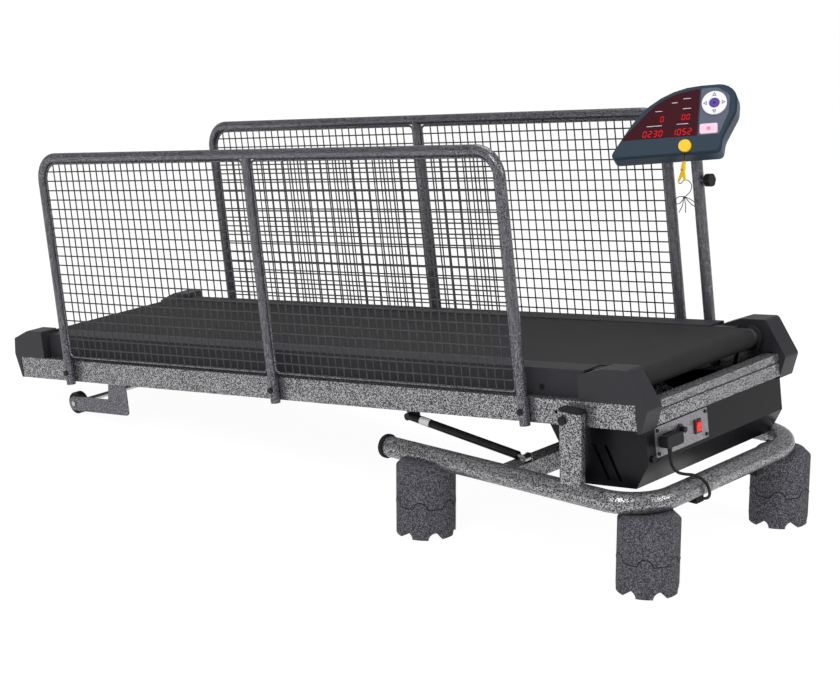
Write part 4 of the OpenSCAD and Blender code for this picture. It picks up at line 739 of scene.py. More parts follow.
class Coat(Enum):
    """The finishes that the treadmill's pieces wear."""

    FRAME = HammerPaint("frame_hammer_paint")
    TUBE = HammerPaint(
        "tube_hammer_paint", (0.006, 0.006, 0.009), (0.23, 0.23, 0.265), size=0.0028, amount=0.51, shine=0.6
    )
    WIRE = SatinPaint("mesh_wire_paint", (0.05, 0.05, 0.054), metallic=0.2)
    CAP = MouldedPlastic("end_cap_plastic", (0.019, 0.0185, 0.023), rough=0.42, shine=0.3)
    HOUSING = MouldedPlastic(
        "motor_cover_plastic", (0.006, 0.0058, 0.0075), rough=0.3, grain=0.0012, deep=0.00004, shine=0.16
    )
    TRIM = MouldedPlastic("foot_strip_plastic", (0.026, 0.025, 0.03), rough=0.55, grain=0.0014, deep=0.0001)
    BELT = BeltWeave("walking_belt_cloth")
    FOAM = RiserFoam("riser_foam")
    RUBBER = MouldedPlastic("black_rubber", (0.011, 0.011, 0.012), rough=0.75, grain=0.0011, deep=0.00012)
    WHEEL = MouldedPlastic("wheel_nylon", (0.016, 0.016, 0.017))
    STEEL = BrushedSteel("turned_steel")
    BOLT = SatinPaint("black_bolt", (0.012, 0.012, 0.013), rough=0.35, metallic=0.5)
    STRUT = SatinPaint("strut_tube_paint", (0.009, 0.009, 0.01), rough=0.28, metallic=0.2)
    BAND = GlossPlastic("strut_band", (0.72, 0.72, 0.72), rough=0.4, shine=0.1)
    BOARD = WaxedBoard("deck_board")
    MOTOR = SatinPaint("motor_paint", (0.05, 0.05, 0.055), metallic=0.6)
    CIRCUIT = GlossPlastic("circuit_board", (0.003, 0.012, 0.007), rough=0.5, shine=0.1)
    SWITCH_PLATE = HammerPaint(
        "switch_plate_paint", (0.05, 0.048, 0.053), (0.36, 0.346, 0.37), size=0.0015, amount=0.42
    )
    ROCKER = GlossPlastic("rocker_red", (0.93, 0.03, 0.028), rough=0.3)
    KNOB = MouldedPlastic("knob_plastic", (0.009, 0.009, 0.01), rough=0.4)
    CONSOLE = MouldedPlastic(
        "console_slate", (0.015, 0.033, 0.052), rough=0.42, grain=0.0008, deep=0.00005, spread=0.2
    )
    LENS = GlossPlastic("display_lens", (0.046, 0.0065, 0.012), rough=0.4, shine=0.06)
    KEYPAD = MouldedPlastic(
        "keypad_film", (0.1, 0.115, 0.16), grain=0.0007, deep=0.00003, spread=0.1, shine=0.1
    )
    PAD = GlossPlastic("pad_white", (0.83, 0.83, 0.88), rough=0.35)
    START = GlossPlastic("start_purple", (0.095, 0.04, 0.33), rough=0.35)
    STOP = GlossPlastic("stop_pink", (0.86, 0.6, 0.72), rough=0.4)
    MARK = GlossPlastic("mark_grey", (0.05, 0.045, 0.1), rough=0.5, shine=0.0)
    STOP_MARK = GlossPlastic("mark_pink", (0.75, 0.25, 0.42), rough=0.5, shine=0.0)
    DASH = GlossPlastic("mark_white", (0.75, 0.66, 0.68), rough=0.5, shine=0.0)
    DIGIT = LampSegment("digit_red")
    UNLIT = GlossPlastic("digit_unlit", (0.085, 0.01, 0.015), rough=0.4, shine=0.0)
    KEY = GlossPlastic("key_yellow", (0.9, 0.56, 0.01), rough=0.3)
    RIVET = GlossPlastic("rivet_orange", (0.55, 0.09, 0.015), rough=0.35)
    CORD = MouldedPlastic("lead_sheath", (0.0085, 0.0085, 0.009), rough=0.48, grain=0.0016, deep=0.00004)
    LANYARD = BraidedCord("lanyard_braid")

    def material(self) -> Material:
        """The finish's material."""
        return self.value.material()


SLOT_OF: dict[Coat, str] = {
    Coat.CORD: "cord_rubber", Coat.RUBBER: "black_rubber", Coat.LANYARD: "black_cord",
    Coat.RIVET: "red_plastic", Coat.BAND: "white_plastic", Coat.DASH: "white_plastic",
    Coat.DIGIT: "display_plastic", Coat.UNLIT: "display_plastic", Coat.MARK: "purple_plastic",
    Coat.STOP_MARK: "pink_plastic",
}


# ---------------------------------------------------------------------------
# Places in the frame
# ---------------------------------------------------------------------------


@dataclass(frozen=True)
class Axes:
    """A flat working frame: an origin and three directions."""

    origin: Vector
    right: Vector
    up: Vector
    out: Vector

    def at(self, right: float, up: float, out: float = 0.0) -> Vector:
        """Point at these distances, in metres."""
        return self.origin + self.right * right + self.up * up + self.out * out

    def level_of(self, node: str) -> float:
        """How far out of the plane a CAD node reaches, in metres."""
        return max((v.co - self.origin).dot(self.out) for v in frame["nodes"][node].data.vertices)


class Places:
    """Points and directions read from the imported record's joints."""

    joints: ClassVar[dict[str, dict]] = {j["name"]: j for j in frame["joints"]}

    @classmethod
    def point(cls, joint: str) -> Vector:
        """Where a hinge sits."""
        return Vector(cls.joints[joint]["pos_m"])

    @classmethod
    def axis(cls, joint: str) -> Vector:
        """Which way a joint's axis points."""
        return Vector(cls.joints[joint]["axis"]).normalized()

    @classmethod
    def level(cls, millimetres: Point) -> Vector:
        """A point given in millimetres from the deck's pivot, along the floor."""
        return cls.point("deck_fold") + Vector(millimetres) * MM

    @classmethod
    def console(cls, pad_at: Flat) -> Axes:
        """The console's face, from the middle of its four-way pad.

        Args:
            pad_at: the pad's place on the face, in metres.

        Returns:
            The face's frame.
        """
        right, up = cls.axis("pad_tilt_lengthways"), cls.axis("pad_tilt_sideways")
        origin = cls.point("pad_tilt_lengthways") - right * pad_at[0] - up * pad_at[1]
        return Axes(origin, right, up, -cls.axis("start_press"))


# ---------------------------------------------------------------------------
# Mesh making
# ---------------------------------------------------------------------------


class Ends(Enum):
    """What becomes of the two ends of a row of rings."""

    OPEN = "open"
    CAPPED = "capped"
    JOINED = "joined"


class Maker:
    """Meshes that several sub-assemblies need."""

    @staticmethod
    def piece(
        name: str,
        points: Sequence[Vector],
        faces: Sequence[Sequence[int]],
        coat: Coat,
        smooth: bool = True,
        weld: bool = False,
    ) -> Piece:
        """Make an object from points and faces.

        Args:
            name: the piece's name.
            points: its vertices, in metres.
            faces: vertex numbers of each face.
            coat: its finish.
            smooth: whether its faces shade smoothly.
            weld: whether vertices that coincide become one.

        Returns:
            The linked object.
        """
        mesh = bpy.data.meshes.new(name)
        mesh.from_pydata([tuple(p) for p in points], [], [list(f) for f in faces])
        mesh.validate()
        work = bmesh.new()
        work.from_mesh(mesh)
        if weld:
            bmesh.ops.remove_doubles(work, verts=work.verts, dist=WELD)
        bmesh.ops.recalc_face_normals(work, faces=work.faces)
        for face in work.faces:
            face.smooth = smooth
        work.to_mesh(mesh)
        work.free()
        mesh.materials.append(coat.material())
        made = bpy.data.objects.new(name, mesh)
        bpy.context.scene.collection.objects.link(made)
        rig.slot(made, SLOT_OF[coat])
        return made

    @staticmethod
    def skin(rings: int, sides: int, ends: Ends, start: int = 0) -> Faces:
        """Faces over rings of points that follow each other.

        Args:
            rings: number of rings.
            sides: points in each ring.
            ends: what becomes of the first and the last ring.
            start: number of the first ring's first point.

        Returns:
            The faces' vertex numbers.
        """
        faces: Faces = []
        for i in range(rings if ends is Ends.JOINED else rings - 1):
            low, high = start + i * sides, start + (i + 1) % rings * sides
            for k in range(sides):
                after = (k + 1) % sides
                faces.append([low + k, low + after, high + after, high + k])
        if ends is Ends.CAPPED:
            last = start + (rings - 1) * sides
            faces += [list(range(start, start + sides))[::-1], list(range(last, last + sides))]
        return faces

    @staticmethod
    def across(along: Vector) -> Vector:
        """A direction square to another one: level, unless that one is steep."""
        pick = Vector((0, 0, 1)) if abs(along.z) < STEEP else Vector((0, 1, 0))
        return along.cross(pick).normalized()

    @staticmethod
    def spline(points: Sequence[Vector], steps: int) -> list[Vector]:
        """Smooth line through points, as the CAD cords have it.

        Args:
            points: the points that it passes through.
            steps: pieces between two points.

        Returns:
            The denser line.
        """
        last, line = len(points) - 1, []
        for i in range(last):
            a, b, c, d = points[max(i - 1, 0)], points[i], points[i + 1], points[min(i + 2, last)]
            slope, bend, twist = c - a, 2 * a - 5 * b + 4 * c - d, 3 * b - a - 3 * c + d
            for step in range(steps):
                x = step / steps
                line.append((2 * b + slope * x + bend * x**2 + twist * x**3) / 2)
        return line + [points[-1].copy()]

    @staticmethod
    def sweep(
        line: Sequence[Vector], section: Sequence[Flat], closed: bool = False
    ) -> tuple[list[Vector], Faces]:
        """Carry a closed outline along a line without twisting it.

        Args:
            line: the points of the line.
            section: the outline, in metres.
            closed: whether the line runs back to its start.

        Returns:
            Points and faces.
        """
        count = len(line)
        points: list[Vector] = []
        side: Vector | None = None
        for i, p in enumerate(line):
            before = line[i - 1] if i or closed else p
            after = line[(i + 1) % count] if i + 1 < count or closed else p
            along = (after - before).normalized()
            if side is None:
                side = Maker.across(along)
            side = (side - along * side.dot(along)).normalized()
            rise = along.cross(side)
            points += [p + side * x + rise * y for x, y in section]
        return points, Maker.skin(count, len(section), Ends.JOINED if closed else Ends.CAPPED)

    @staticmethod
    def circle(radius: float, sides: int) -> list[Flat]:
        """Points of a round section."""
        turns = [math.tau * k / sides for k in range(sides)]
        return [(radius * math.cos(a), radius * math.sin(a)) for a in turns]

    @staticmethod
    def rounded_box(middle: Flat, wide: float, high: float, corner: float, steps: int = 5) -> list[Flat]:
        """Outline of a box with round corners.

        Args:
            middle: its middle, in metres.
            wide: its width.
            high: its height.
            corner: radius of its corners.
            steps: points on each corner, less one.

        Returns:
            The outline.
        """
        outline = []
        for quarter, (sx, sy) in enumerate(((1, 1), (-1, 1), (-1, -1), (1, -1))):
            for k in range(steps + 1):
                a = math.pi / 2 * (quarter + k / steps)
                x = sx * (wide / 2 - corner) + corner * math.cos(a)
                y = sy * (high / 2 - corner) + corner * math.sin(a)
                outline.append((middle[0] + x, middle[1] + y))
        return outline

    @staticmethod
    def plates(
        name: str,
        outlines: Sequence[Sequence[Flat]],
        axes: Axes,
        low: float,
        high: float,
        coat: Coat,
        edge: float,
        least: float = 0.2,
    ) -> Piece:
        """Thin plates on a plane, with a small chamfer round their upper edge.

        Args:
            name: the piece's name.
            outlines: one closed outline per plate, on the plane, in metres.
            axes: the plane.
            low: lower face, out from the plane.
            high: upper face.
            coat: the finish.
            edge: size of the chamfer.
            least: share of the outline that the chamfer leaves at least.

        Returns:
            The piece.
        """
        points: list[Vector] = []
        faces: Faces = []
        for outline in outlines:
            start, sides = len(points), len(outline)
            mid = (sum(x for x, _ in outline) / sides, sum(y for _, y in outline) / sides)
            reach = max(math.dist(p, mid) for p in outline)
            shrink = max(least, 1.0 - edge / reach)
            inner = [(mid[0] + (x - mid[0]) * shrink, mid[1] + (y - mid[1]) * shrink) for x, y in outline]
            layers = ((outline, low), (outline, high - edge), (inner, high))
            for ring, out in layers:
                points += [axes.at(x, y, out) for x, y in ring]
            faces += Maker.skin(len(layers), sides, Ends.CAPPED, start)
        return Maker.piece(name, points, faces, coat, smooth=False)

    @staticmethod
    def lathe(
        name: str, profile: Sequence[Flat], origin: Vector, axis: Vector, coat: Coat, sides: int
    ) -> Piece:
        """Turn a closed profile round an axis.

        Args:
            name: the piece's name.
            profile: distances along the axis and from it, in metres.
            origin: where the distances start.
            axis: the axis of turning.
            coat: the finish.
            sides: number of steps round.

        Returns:
            The piece.
        """
        along = axis.normalized()
        side = Maker.across(along)
        rise = along.cross(side)
        points: list[Vector] = []
        for cos, sin in Maker.circle(1.0, sides):
            way = side * cos + rise * sin
            points += [origin + along * far + way * radius for far, radius in profile]
        faces = Maker.skin(sides, len(profile), Ends.JOINED)
        return Maker.piece(name, points, faces, coat, weld=True)


def length_of(line: Sequence[Vector]) -> float:
    """Length of a line of points, in metres."""
    return sum((b - a).length for a, b in zip(line, line[1:]))


# ---------------------------------------------------------------------------
# Sub-assemblies
# ---------------------------------------------------------------------------


@dataclass
class Assembly:
    """A sub-assembly: the CAD nodes that it dresses and the pieces that it adds."""

    title: str
    coats: dict[str, Coat] = field(default_factory=dict)

    def dress(self) -> None:
        """Give each CAD node its finish."""
        for node, coat in self.coats.items():
            materials = frame["nodes"][node].data.materials
            materials.clear()
            materials.append(coat.material())

    def build(self) -> list[Piece]:
        """Make the pieces that the CAD nodes lack, none unless a sub-assembly says so."""
        return []


@dataclass
class BaseStand(Assembly):
    """Tubular base, its caps, its pivot uprights and the foam risers."""

    title: str = "base stand"
    coats: dict[str, Coat] = field(default_factory=lambda: {
        "base_frame": Coat.FRAME, "base_crossbar": Coat.FRAME, "uprights": Coat.FRAME,
        "base_caps_and_pads": Coat.RUBBER, "riser_tops": Coat.FOAM, "riser_bottoms": Coat.FOAM,
        "pivot_bolts": Coat.BOLT,
    })
    riser_radius: float = 70 * MM
    riser_split: float = 75 * MM
    wave_radius: float = 17 * MM
    waves: int = 6
    # radius of the dark tube of painted shade along each joint
    shade_radius: float = 1.5 * MM
    seam_steps: int = 240
    seam_sides: int = 8

    def seam_line(self, middle: Vector) -> list[Vector]:
        """Line between a riser's two blocks: level, with a half-round tongue at each wave.

        Args:
            middle: the riser's middle on the floor.

        Returns:
            A closed line round the riser.
        """
        line = []
        reach = self.riser_radius - self.shade_radius / 2
        for k in range(self.seam_steps):
            a = math.tau * k / self.seam_steps
            off = math.remainder(a, math.tau / self.waves)
            across = self.riser_radius * math.sin(off)
            rise = math.sqrt(max(self.wave_radius**2 - across**2, 0.0))
            line.append(middle + Vector((reach * math.cos(a), reach * math.sin(a), self.riser_split + rise)))
        return line

    def riser_middles(self) -> list[Vector]:
        """Middles of the four risers, from their CAD meshes.

        Returns:
            Four points on the floor.
        """
        places = [v.co for v in frame["nodes"]["riser_bottoms"].data.vertices]
        ahead = Places.point("deck_fold").x - self.riser_radius
        middles = []
        for front in (False, True):
            for left in (False, True):
                block = [p for p in places if (p.x > ahead) == front and (p.y > 0) == left]
                xs, ys = [p.x for p in block], [p.y for p in block]
                middles.append(Vector(((min(xs) + max(xs)) / 2, (min(ys) + max(ys)) / 2, 0)))
        return middles

    def build(self) -> list[Piece]:
        """Make the painted shade in the joints between the foam blocks: a thin dark tube along each joint.

        Returns:
            One piece with the four dark tubes of painted shade.
        """
        points: list[Vector] = []
        faces: Faces = []
        section = Maker.circle(self.shade_radius, self.seam_sides)
        for middle in self.riser_middles():
            ring, sides = Maker.sweep(self.seam_line(middle), section, closed=True)
            faces += [[i + len(points) for i in face] for face in sides]
            points += ring
        # Painted shade: the dark rubber tube along each joint stands for the shade in the gap between the foam blocks.
        joint_shade = Maker.piece("riser_joint_shade", points, faces, Coat.RUBBER)
        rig.ride(joint_shade, "base")
        return [joint_shade]


@dataclass
class LiftStrut(Assembly):
    """Gas strut with the plain band round its upper end."""

    title: str = "lift strut"
    tube_radius: float = 10 * MM
    band_from: float = 285 * MM
    band_length: float = 30 * MM
    band_thick: float = 0.35 * MM
    band_sides: int = 40
    coats: dict[str, Coat] = field(default_factory=lambda: {
        "strut_cylinder": Coat.STRUT, "strut_rod": Coat.STEEL,
    })

    def build(self) -> list[Piece]:
        """Make the band.

        Returns:
            The band, on the strut's cylinder.
        """
        inside, outside = self.tube_radius, self.tube_radius + self.band_thick
        end, soft = self.band_length, self.band_thick
        profile = [(0, inside), (soft, outside), (end - soft, outside), (end, inside)]
        axis = Places.axis("strut_extend")
        start = Places.point("strut_swing") + axis * self.band_from
        band = Maker.lathe("strut_band", profile, start, axis, Coat.BAND, self.band_sides)
        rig.ride(band, "strut_piston")
        return [band]


@dataclass
class RunningDeck(Assembly):
    """Rails, board, belt, rollers and drive."""

    title: str = "running deck"
    coats: dict[str, Coat] = field(default_factory=lambda: {
        "side_rails": Coat.FRAME, "front_crossbar": Coat.FRAME, "deck_crossmembers": Coat.FRAME,
        "deck_cushions": Coat.RUBBER, "deck_board": Coat.BOARD, "side_trims": Coat.TRIM,
        "deck_brackets": Coat.FRAME, "deck_axles": Coat.STEEL, "walking_belt": Coat.BELT,
        "front_roller": Coat.STEEL, "rear_roller": Coat.STEEL, "drive_motor": Coat.MOTOR,
        "motor_rotor": Coat.STEEL, "drive_belt": Coat.RUBBER, "motor_controller": Coat.CIRCUIT,
        "rail_end_caps": Coat.CAP, "deck_fasteners": Coat.BOLT, "wheel_brackets": Coat.TUBE,
        "right_wheel": Coat.WHEEL, "left_wheel": Coat.WHEEL,
    })


@dataclass
class MotorHousing(Assembly):
    """Cover under the front of the deck, with its switch plate."""

    title: str = "motor housing"
    coats: dict[str, Coat] = field(default_factory=lambda: {
        "motor_housing": Coat.HOUSING, "switch_plate": Coat.SWITCH_PLATE, "power_inlet": Coat.CAP,
        "switch_bodies": Coat.CAP, "breaker_button": Coat.KNOB, "rocker_switch": Coat.ROCKER,
    })


@dataclass
class SidePanels(Assembly):
    """Bent tube frames with welded wire mesh."""

    title: str = "side panels"
    coats: dict[str, Coat] = field(default_factory=lambda: {
        "panel_frames": Coat.TUBE, "right_mesh_rims": Coat.TUBE, "left_mesh_rims": Coat.TUBE,
        "right_mesh_wires": Coat.WIRE, "left_mesh_wires": Coat.WIRE,
    })


class Bar(Enum):
    """The seven bars of a number: middle, half length and whether it stands, in shares of its size."""

    TOP = (0.0, 0.5, 0.5, False)
    MIDDLE = (0.0, 0.0, 0.5, False)
    FOOT = (0.0, -0.5, 0.5, False)
    LEFT_HIGH = (-0.5, 0.25, 0.25, True)
    LEFT_LOW = (-0.5, -0.25, 0.25, True)
    RIGHT_HIGH = (0.5, 0.25, 0.25, True)
    RIGHT_LOW = (0.5, -0.25, 0.25, True)


BARS_OF: dict[str, frozenset[Bar]] = {
    "0": frozenset(Bar) - {Bar.MIDDLE},
    "1": frozenset({Bar.RIGHT_HIGH, Bar.RIGHT_LOW}),
    "2": frozenset(Bar) - {Bar.LEFT_HIGH, Bar.RIGHT_LOW},
    "3": frozenset(Bar) - {Bar.LEFT_HIGH, Bar.LEFT_LOW},
    "5": frozenset(Bar) - {Bar.RIGHT_HIGH, Bar.LEFT_LOW},
    " ": frozenset(),
}


@dataclass(frozen=True)
class NumberGroup:
    """A row of numbers on the display: what it shows, and its middle and height, in millimetres."""

    shows: str
    middle: Flat
    height: float


@dataclass
class Console(Assembly):
    """Mast, console and the marks on its face."""

    title: str = "mast and console"
    pad_at: Flat = (59 * MM, 29 * MM)
    stop_at: Flat = (46 * MM, -35 * MM)
    number_shape: float = 0.5
    number_pitch: float = 0.74
    bar_wide: float = 0.14
    slant: float = 0.14
    mark_thick: float = 0.25 * MM
    mark_edge: float = 0.0625 * MM
    bar_edge: float = 0.12 * MM
    bar_gap: float = 0.12
    dash_high: float = 1.5 * MM
    dash_corner: float = 0.7 * MM
    start_mark: float = 7 * MM
    start_corner: float = 3.4 * MM
    stop_mark: float = 9 * MM
    stop_corner: float = 1.4 * MM
    arrows: int = 4
    arrow_reach: float = 20.5 * MM
    arrow_size: float = 8 * MM
    arrow_shape: tuple[Flat, ...] = ((0.75, 0.0), (-0.35, 0.62), (-0.35, -0.62))
    arrow_hollow: float = 0.55
    arrow_shift: float = 0.01
    groups: tuple[NumberGroup, ...] = (
        NumberGroup("  0", (-76, -2), 15),
        NumberGroup(" 00", (-14, -1), 15),
        NumberGroup("0230", (-87, -38), 17),
        NumberGroup("1052", (-18, -38), 17),
    )
    dashes: tuple[tuple[float, float, float], ...] = (
        (-73, 18.5, 16), (-6, 20.5, 20), (-83, -18.5, 36), (-16, -18, 28), (-35, 37.5, 14), (-6, 46, 18),
    )
    coats: dict[str, Coat] = field(default_factory=lambda: {
        "mast": Coat.TUBE, "clamp_knob": Coat.KNOB, "console_post": Coat.STEEL, "console_shell": Coat.CONSOLE,
        "console_bezel": Coat.CONSOLE, "display_lens": Coat.LENS, "keypad_panel": Coat.KEYPAD,
        "console_board": Coat.CIRCUIT, "pad_gimbal": Coat.KNOB, "four_way_pad": Coat.PAD,
        "start_key": Coat.START, "stop_key": Coat.STOP,
    })

    def bar_outline(self, bar: Bar, middle: Flat, height: float) -> list[Flat]:
        """Outline of one bar of a number.

        Args:
            bar: which bar.
            middle: the number's middle, in metres.
            height: the number's height, in metres.

        Returns:
            A six-sided outline, leaning with the number.
        """
        x, y, half, stands = bar.value
        tall = height * (1 - self.bar_wide)
        wide = tall * self.number_shape
        thick = height * self.bar_wide
        reach = half * (tall if stands else wide) - thick * self.bar_gap
        tip = thick / 2
        upper = [(-reach, 0), (tip - reach, tip), (reach - tip, tip)]
        flat = [*upper, *((-a, -b) for a, b in upper)]
        if stands:
            flat = [(b, a) for a, b in flat]
        placed = [(x * wide + a, y * tall + b) for a, b in flat]
        return [(middle[0] + a + b * self.slant, middle[1] + b) for a, b in placed]

    def mark(
        self,
        name: str,
        outlines: Sequence[Sequence[Flat]],
        face: Axes,
        node: str,
        coat: Coat,
        share: float = 1.0,
        edge: float | None = None,
    ) -> Piece:
        """Thin marks on the outer surface of one of the console's nodes.

        Args:
            name: the piece's name.
            outlines: one outline per mark, on the face.
            face: the console's face.
            node: the node that carries them.
            coat: the finish.
            share: share of the usual thickness.
            edge: size of the chamfer, or None for the usual one.

        Returns:
            One piece with all the marks.
        """
        low = face.level_of(node)
        high = low + self.mark_thick * share
        return Maker.plates(name, outlines, face, low, high, coat, edge or self.mark_edge)

    def numbers(self, face: Axes) -> list[Piece]:
        """Lit and unlit bars of every number, on the lens.

        Args:
            face: the console's face.

        Returns:
            One piece of lit bars and one of unlit bars.
        """
        lit: list[list[Flat]] = []
        unlit: list[list[Flat]] = []
        for group in self.groups:
            height = group.height * MM
            pitch = height * self.number_pitch
            for i, figure in enumerate(group.shows):
                shift = (i - (len(group.shows) - 1) / 2) * pitch
                middle = (group.middle[0] * MM + shift, group.middle[1] * MM)
                for bar in Bar:
                    bars = lit if bar in BARS_OF[figure] else unlit
                    bars.append(self.bar_outline(bar, middle, height))
        return [
            self.mark("display_bars_lit", lit, face, "display_lens", Coat.DIGIT, edge=self.bar_edge),
            self.mark("display_bars_unlit", unlit, face, "display_lens", Coat.UNLIT, 0.5),
        ]

    def arrow(self, turn: float) -> list[list[Flat]]:
        """Three strokes of one hollow arrow on the four-way pad.

        Args:
            turn: its direction, in radians.

        Returns:
            One outline per stroke.
        """
        size, cos, sin = self.arrow_size, math.cos(turn), math.sin(turn)
        corners = [(size * x, size * y) for x, y in self.arrow_shape]
        inner = [(x * self.arrow_hollow + size * self.arrow_shift, y * self.arrow_hollow) for x, y in corners]
        strokes = []
        for k, corner in enumerate(corners):
            after = (k + 1) % len(corners)
            quad = [(x + self.arrow_reach, y) for x, y in (corner, corners[after], inner[after], inner[k])]
            spun = [(x * cos - y * sin, x * sin + y * cos) for x, y in quad]
            strokes.append([(self.pad_at[0] + x, self.pad_at[1] + y) for x, y in spun])
        return strokes

    def build(self) -> list[Piece]:
        """Make the marks on the face.

        Returns:
            The numbers, dashes, arrows and key marks, each on the body that carries it.
        """
        face, box = Places.console(self.pad_at), Maker.rounded_box
        bars = [box((x * MM, y * MM), w * MM, self.dash_high, self.dash_corner) for x, y, w in self.dashes]
        strokes = [stroke for k in range(self.arrows) for stroke in self.arrow(math.tau * k / self.arrows)]
        ring = box(self.pad_at, self.start_mark, self.start_mark, self.start_corner)
        square = box(self.stop_at, self.stop_mark, self.stop_mark, self.stop_corner)
        on_lens = self.numbers(face)
        on_lens.append(self.mark("display_dashes", bars, face, "display_lens", Coat.DASH, 0.5))
        on_pad = self.mark("pad_arrows", strokes, face, "four_way_pad", Coat.MARK)
        on_start = self.mark("start_mark", [ring], face, "start_key", Coat.MARK)
        on_stop = self.mark("stop_mark", [square], face, "stop_key", Coat.STOP_MARK)
        for piece in on_lens:
            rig.ride(piece, "console")
        for piece, body in ((on_pad, "four_way_pad"), (on_start, "start_key"), (on_stop, "stop_key")):
            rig.ride(piece, body)
        return [*on_lens, on_pad, on_start, on_stop]


@dataclass
class SafetyLanyard(Assembly):
    """Safety key, its clip and the tied lanyard."""

    title: str = "safety lanyard"
    cord: float = 2 * MM
    knot: float = 4 * MM
    knot_at: Point = (-77, 218, 397)
    runs: dict[str, tuple[Point, ...]] = field(default_factory=lambda: {
        "lanyard_key_loop": ((-83.2, 223, 503.1), (-81.2, 220, 498), (-80.6, 218.3, 491), (-81, 218, 482.3)),
        "lanyard_arc": ((-96, 220, 431.7), (-94.5, 220, 428.6), (-91.5, 220, 427.4), (-88.3, 220, 428.8),
                        (-84.6, 220.5, 433.2), (-80, 221, 437.6), (-69, 221, 437), (-59, 220, 428),
                        (-61, 219, 414), (-70, 218, 403), (-75, 218, 399)),
        "lanyard_bow_left": ((-79, 218, 398), (-90, 216, 397), (-100, 215, 389), (-99, 216, 379),
                             (-90, 220, 381), (-79, 220, 395)),
        "lanyard_bow_right": ((-75, 217, 398), (-61, 216, 396), (-46, 215, 390), (-45, 216, 381),
                              (-58, 220, 383), (-75, 220, 396)),
        "lanyard_tail_left": ((-78, 217, 395), (-81, 217, 377), (-90, 217, 359)),
        "lanyard_tail_right": ((-76, 218, 395), (-73, 218, 378), (-72, 218, 361)),
    })
    run_steps: int = 8
    cord_sides: int = 10
    knot_steps: int = 72
    knot_ring: float = 0.42
    knot_swell: float = 0.16
    knot_flat: float = 0.9
    hook_wide: float = 16 * MM
    shortest_free: float = 30 * MM
    clip_pin: Point = (-83, 213.6, 462)
    rivet: float = 2.4 * MM
    rivet_rise: float = 0.35
    rivet_sides: int = 24
    rivet_profile: tuple[Flat, ...] = ((0, 0), (0, 1), (0.6, 0.9), (1, 0.5), (1, 0))
    coats: dict[str, Coat] = field(default_factory=lambda: {
        "safety_key": Coat.KEY, "clip_body": Coat.KEY, "clip_lever": Coat.KEY,
    })

    def tied_knot(self, section: Sequence[Flat]) -> Piece:
        """Make the knot: three turns of cord drawn into a ball.

        Args:
            section: the cord's outline, in metres.

        Returns:
            The knot.
        """
        middle = Places.level(self.knot_at)
        line = []
        for k in range(self.knot_steps):
            a = math.tau * k / self.knot_steps
            out = self.knot * (self.knot_ring + self.knot_swell * math.cos(3 * a))
            lift = self.knot * self.knot_ring * math.sin(3 * a)
            x, y = out * math.cos(2 * a), out * math.sin(2 * a) * self.knot_flat
            line.append(middle + Vector((x, y, lift)))
        return Maker.piece("lanyard_knot", *Maker.sweep(line, section, closed=True), Coat.LANYARD)

    def clip_rivet(self) -> Piece:
        """Make the rivet on the clip's pin.

        Returns:
            The rivet's head.
        """
        radius, rise = self.rivet, self.rivet * self.rivet_rise
        profile = [(rise * far, radius * out) for far, out in self.rivet_profile]
        place = Places.level(self.clip_pin)
        return Maker.lathe("clip_rivet", profile, place, Vector((0, -1, 0)), Coat.RIVET, self.rivet_sides)

    def build(self) -> list[Piece]:
        """Make the lanyard's runs, its knot and the clip's rivet.

        Returns:
            All pieces, on the safety key apart from the end that the clip's lever holds.
        """
        section = Maker.circle(self.cord / 2, self.cord_sides)
        knot = self.tied_knot(section)
        made = [knot]
        for name, points in self.runs.items():
            line = Maker.spline([Places.level(p) for p in points], self.run_steps)
            run = Maker.piece(name, *Maker.sweep(line, section), Coat.LANYARD)
            made.append(run)
            if length_of(line) < self.shortest_free:
                continue
            end = "bare" if "tail" in name else "knot"
            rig.cord(run, exit=line[0], length=length_of(line), diameter=self.cord, far_end=end,
                    stiffness="limp", lay="hanging", path=line,
                    with_pieces=[knot] if name == "lanyard_arc" else [])
        made.append(self.clip_rivet())
        for piece in made:
            if piece.name == "lanyard_arc":
                hook = Places.level(self.runs[piece.name][0])
                end = hook + Vector((self.hook_wide, 0, 0))
                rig.blend(piece, "clip_lever", "safety_key", start=hook, end=end)
            else:
                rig.ride(piece, "safety_key")
            if piece.name != "clip_rivet":
                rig.replaces(piece, "lanyard_cord")
        return made


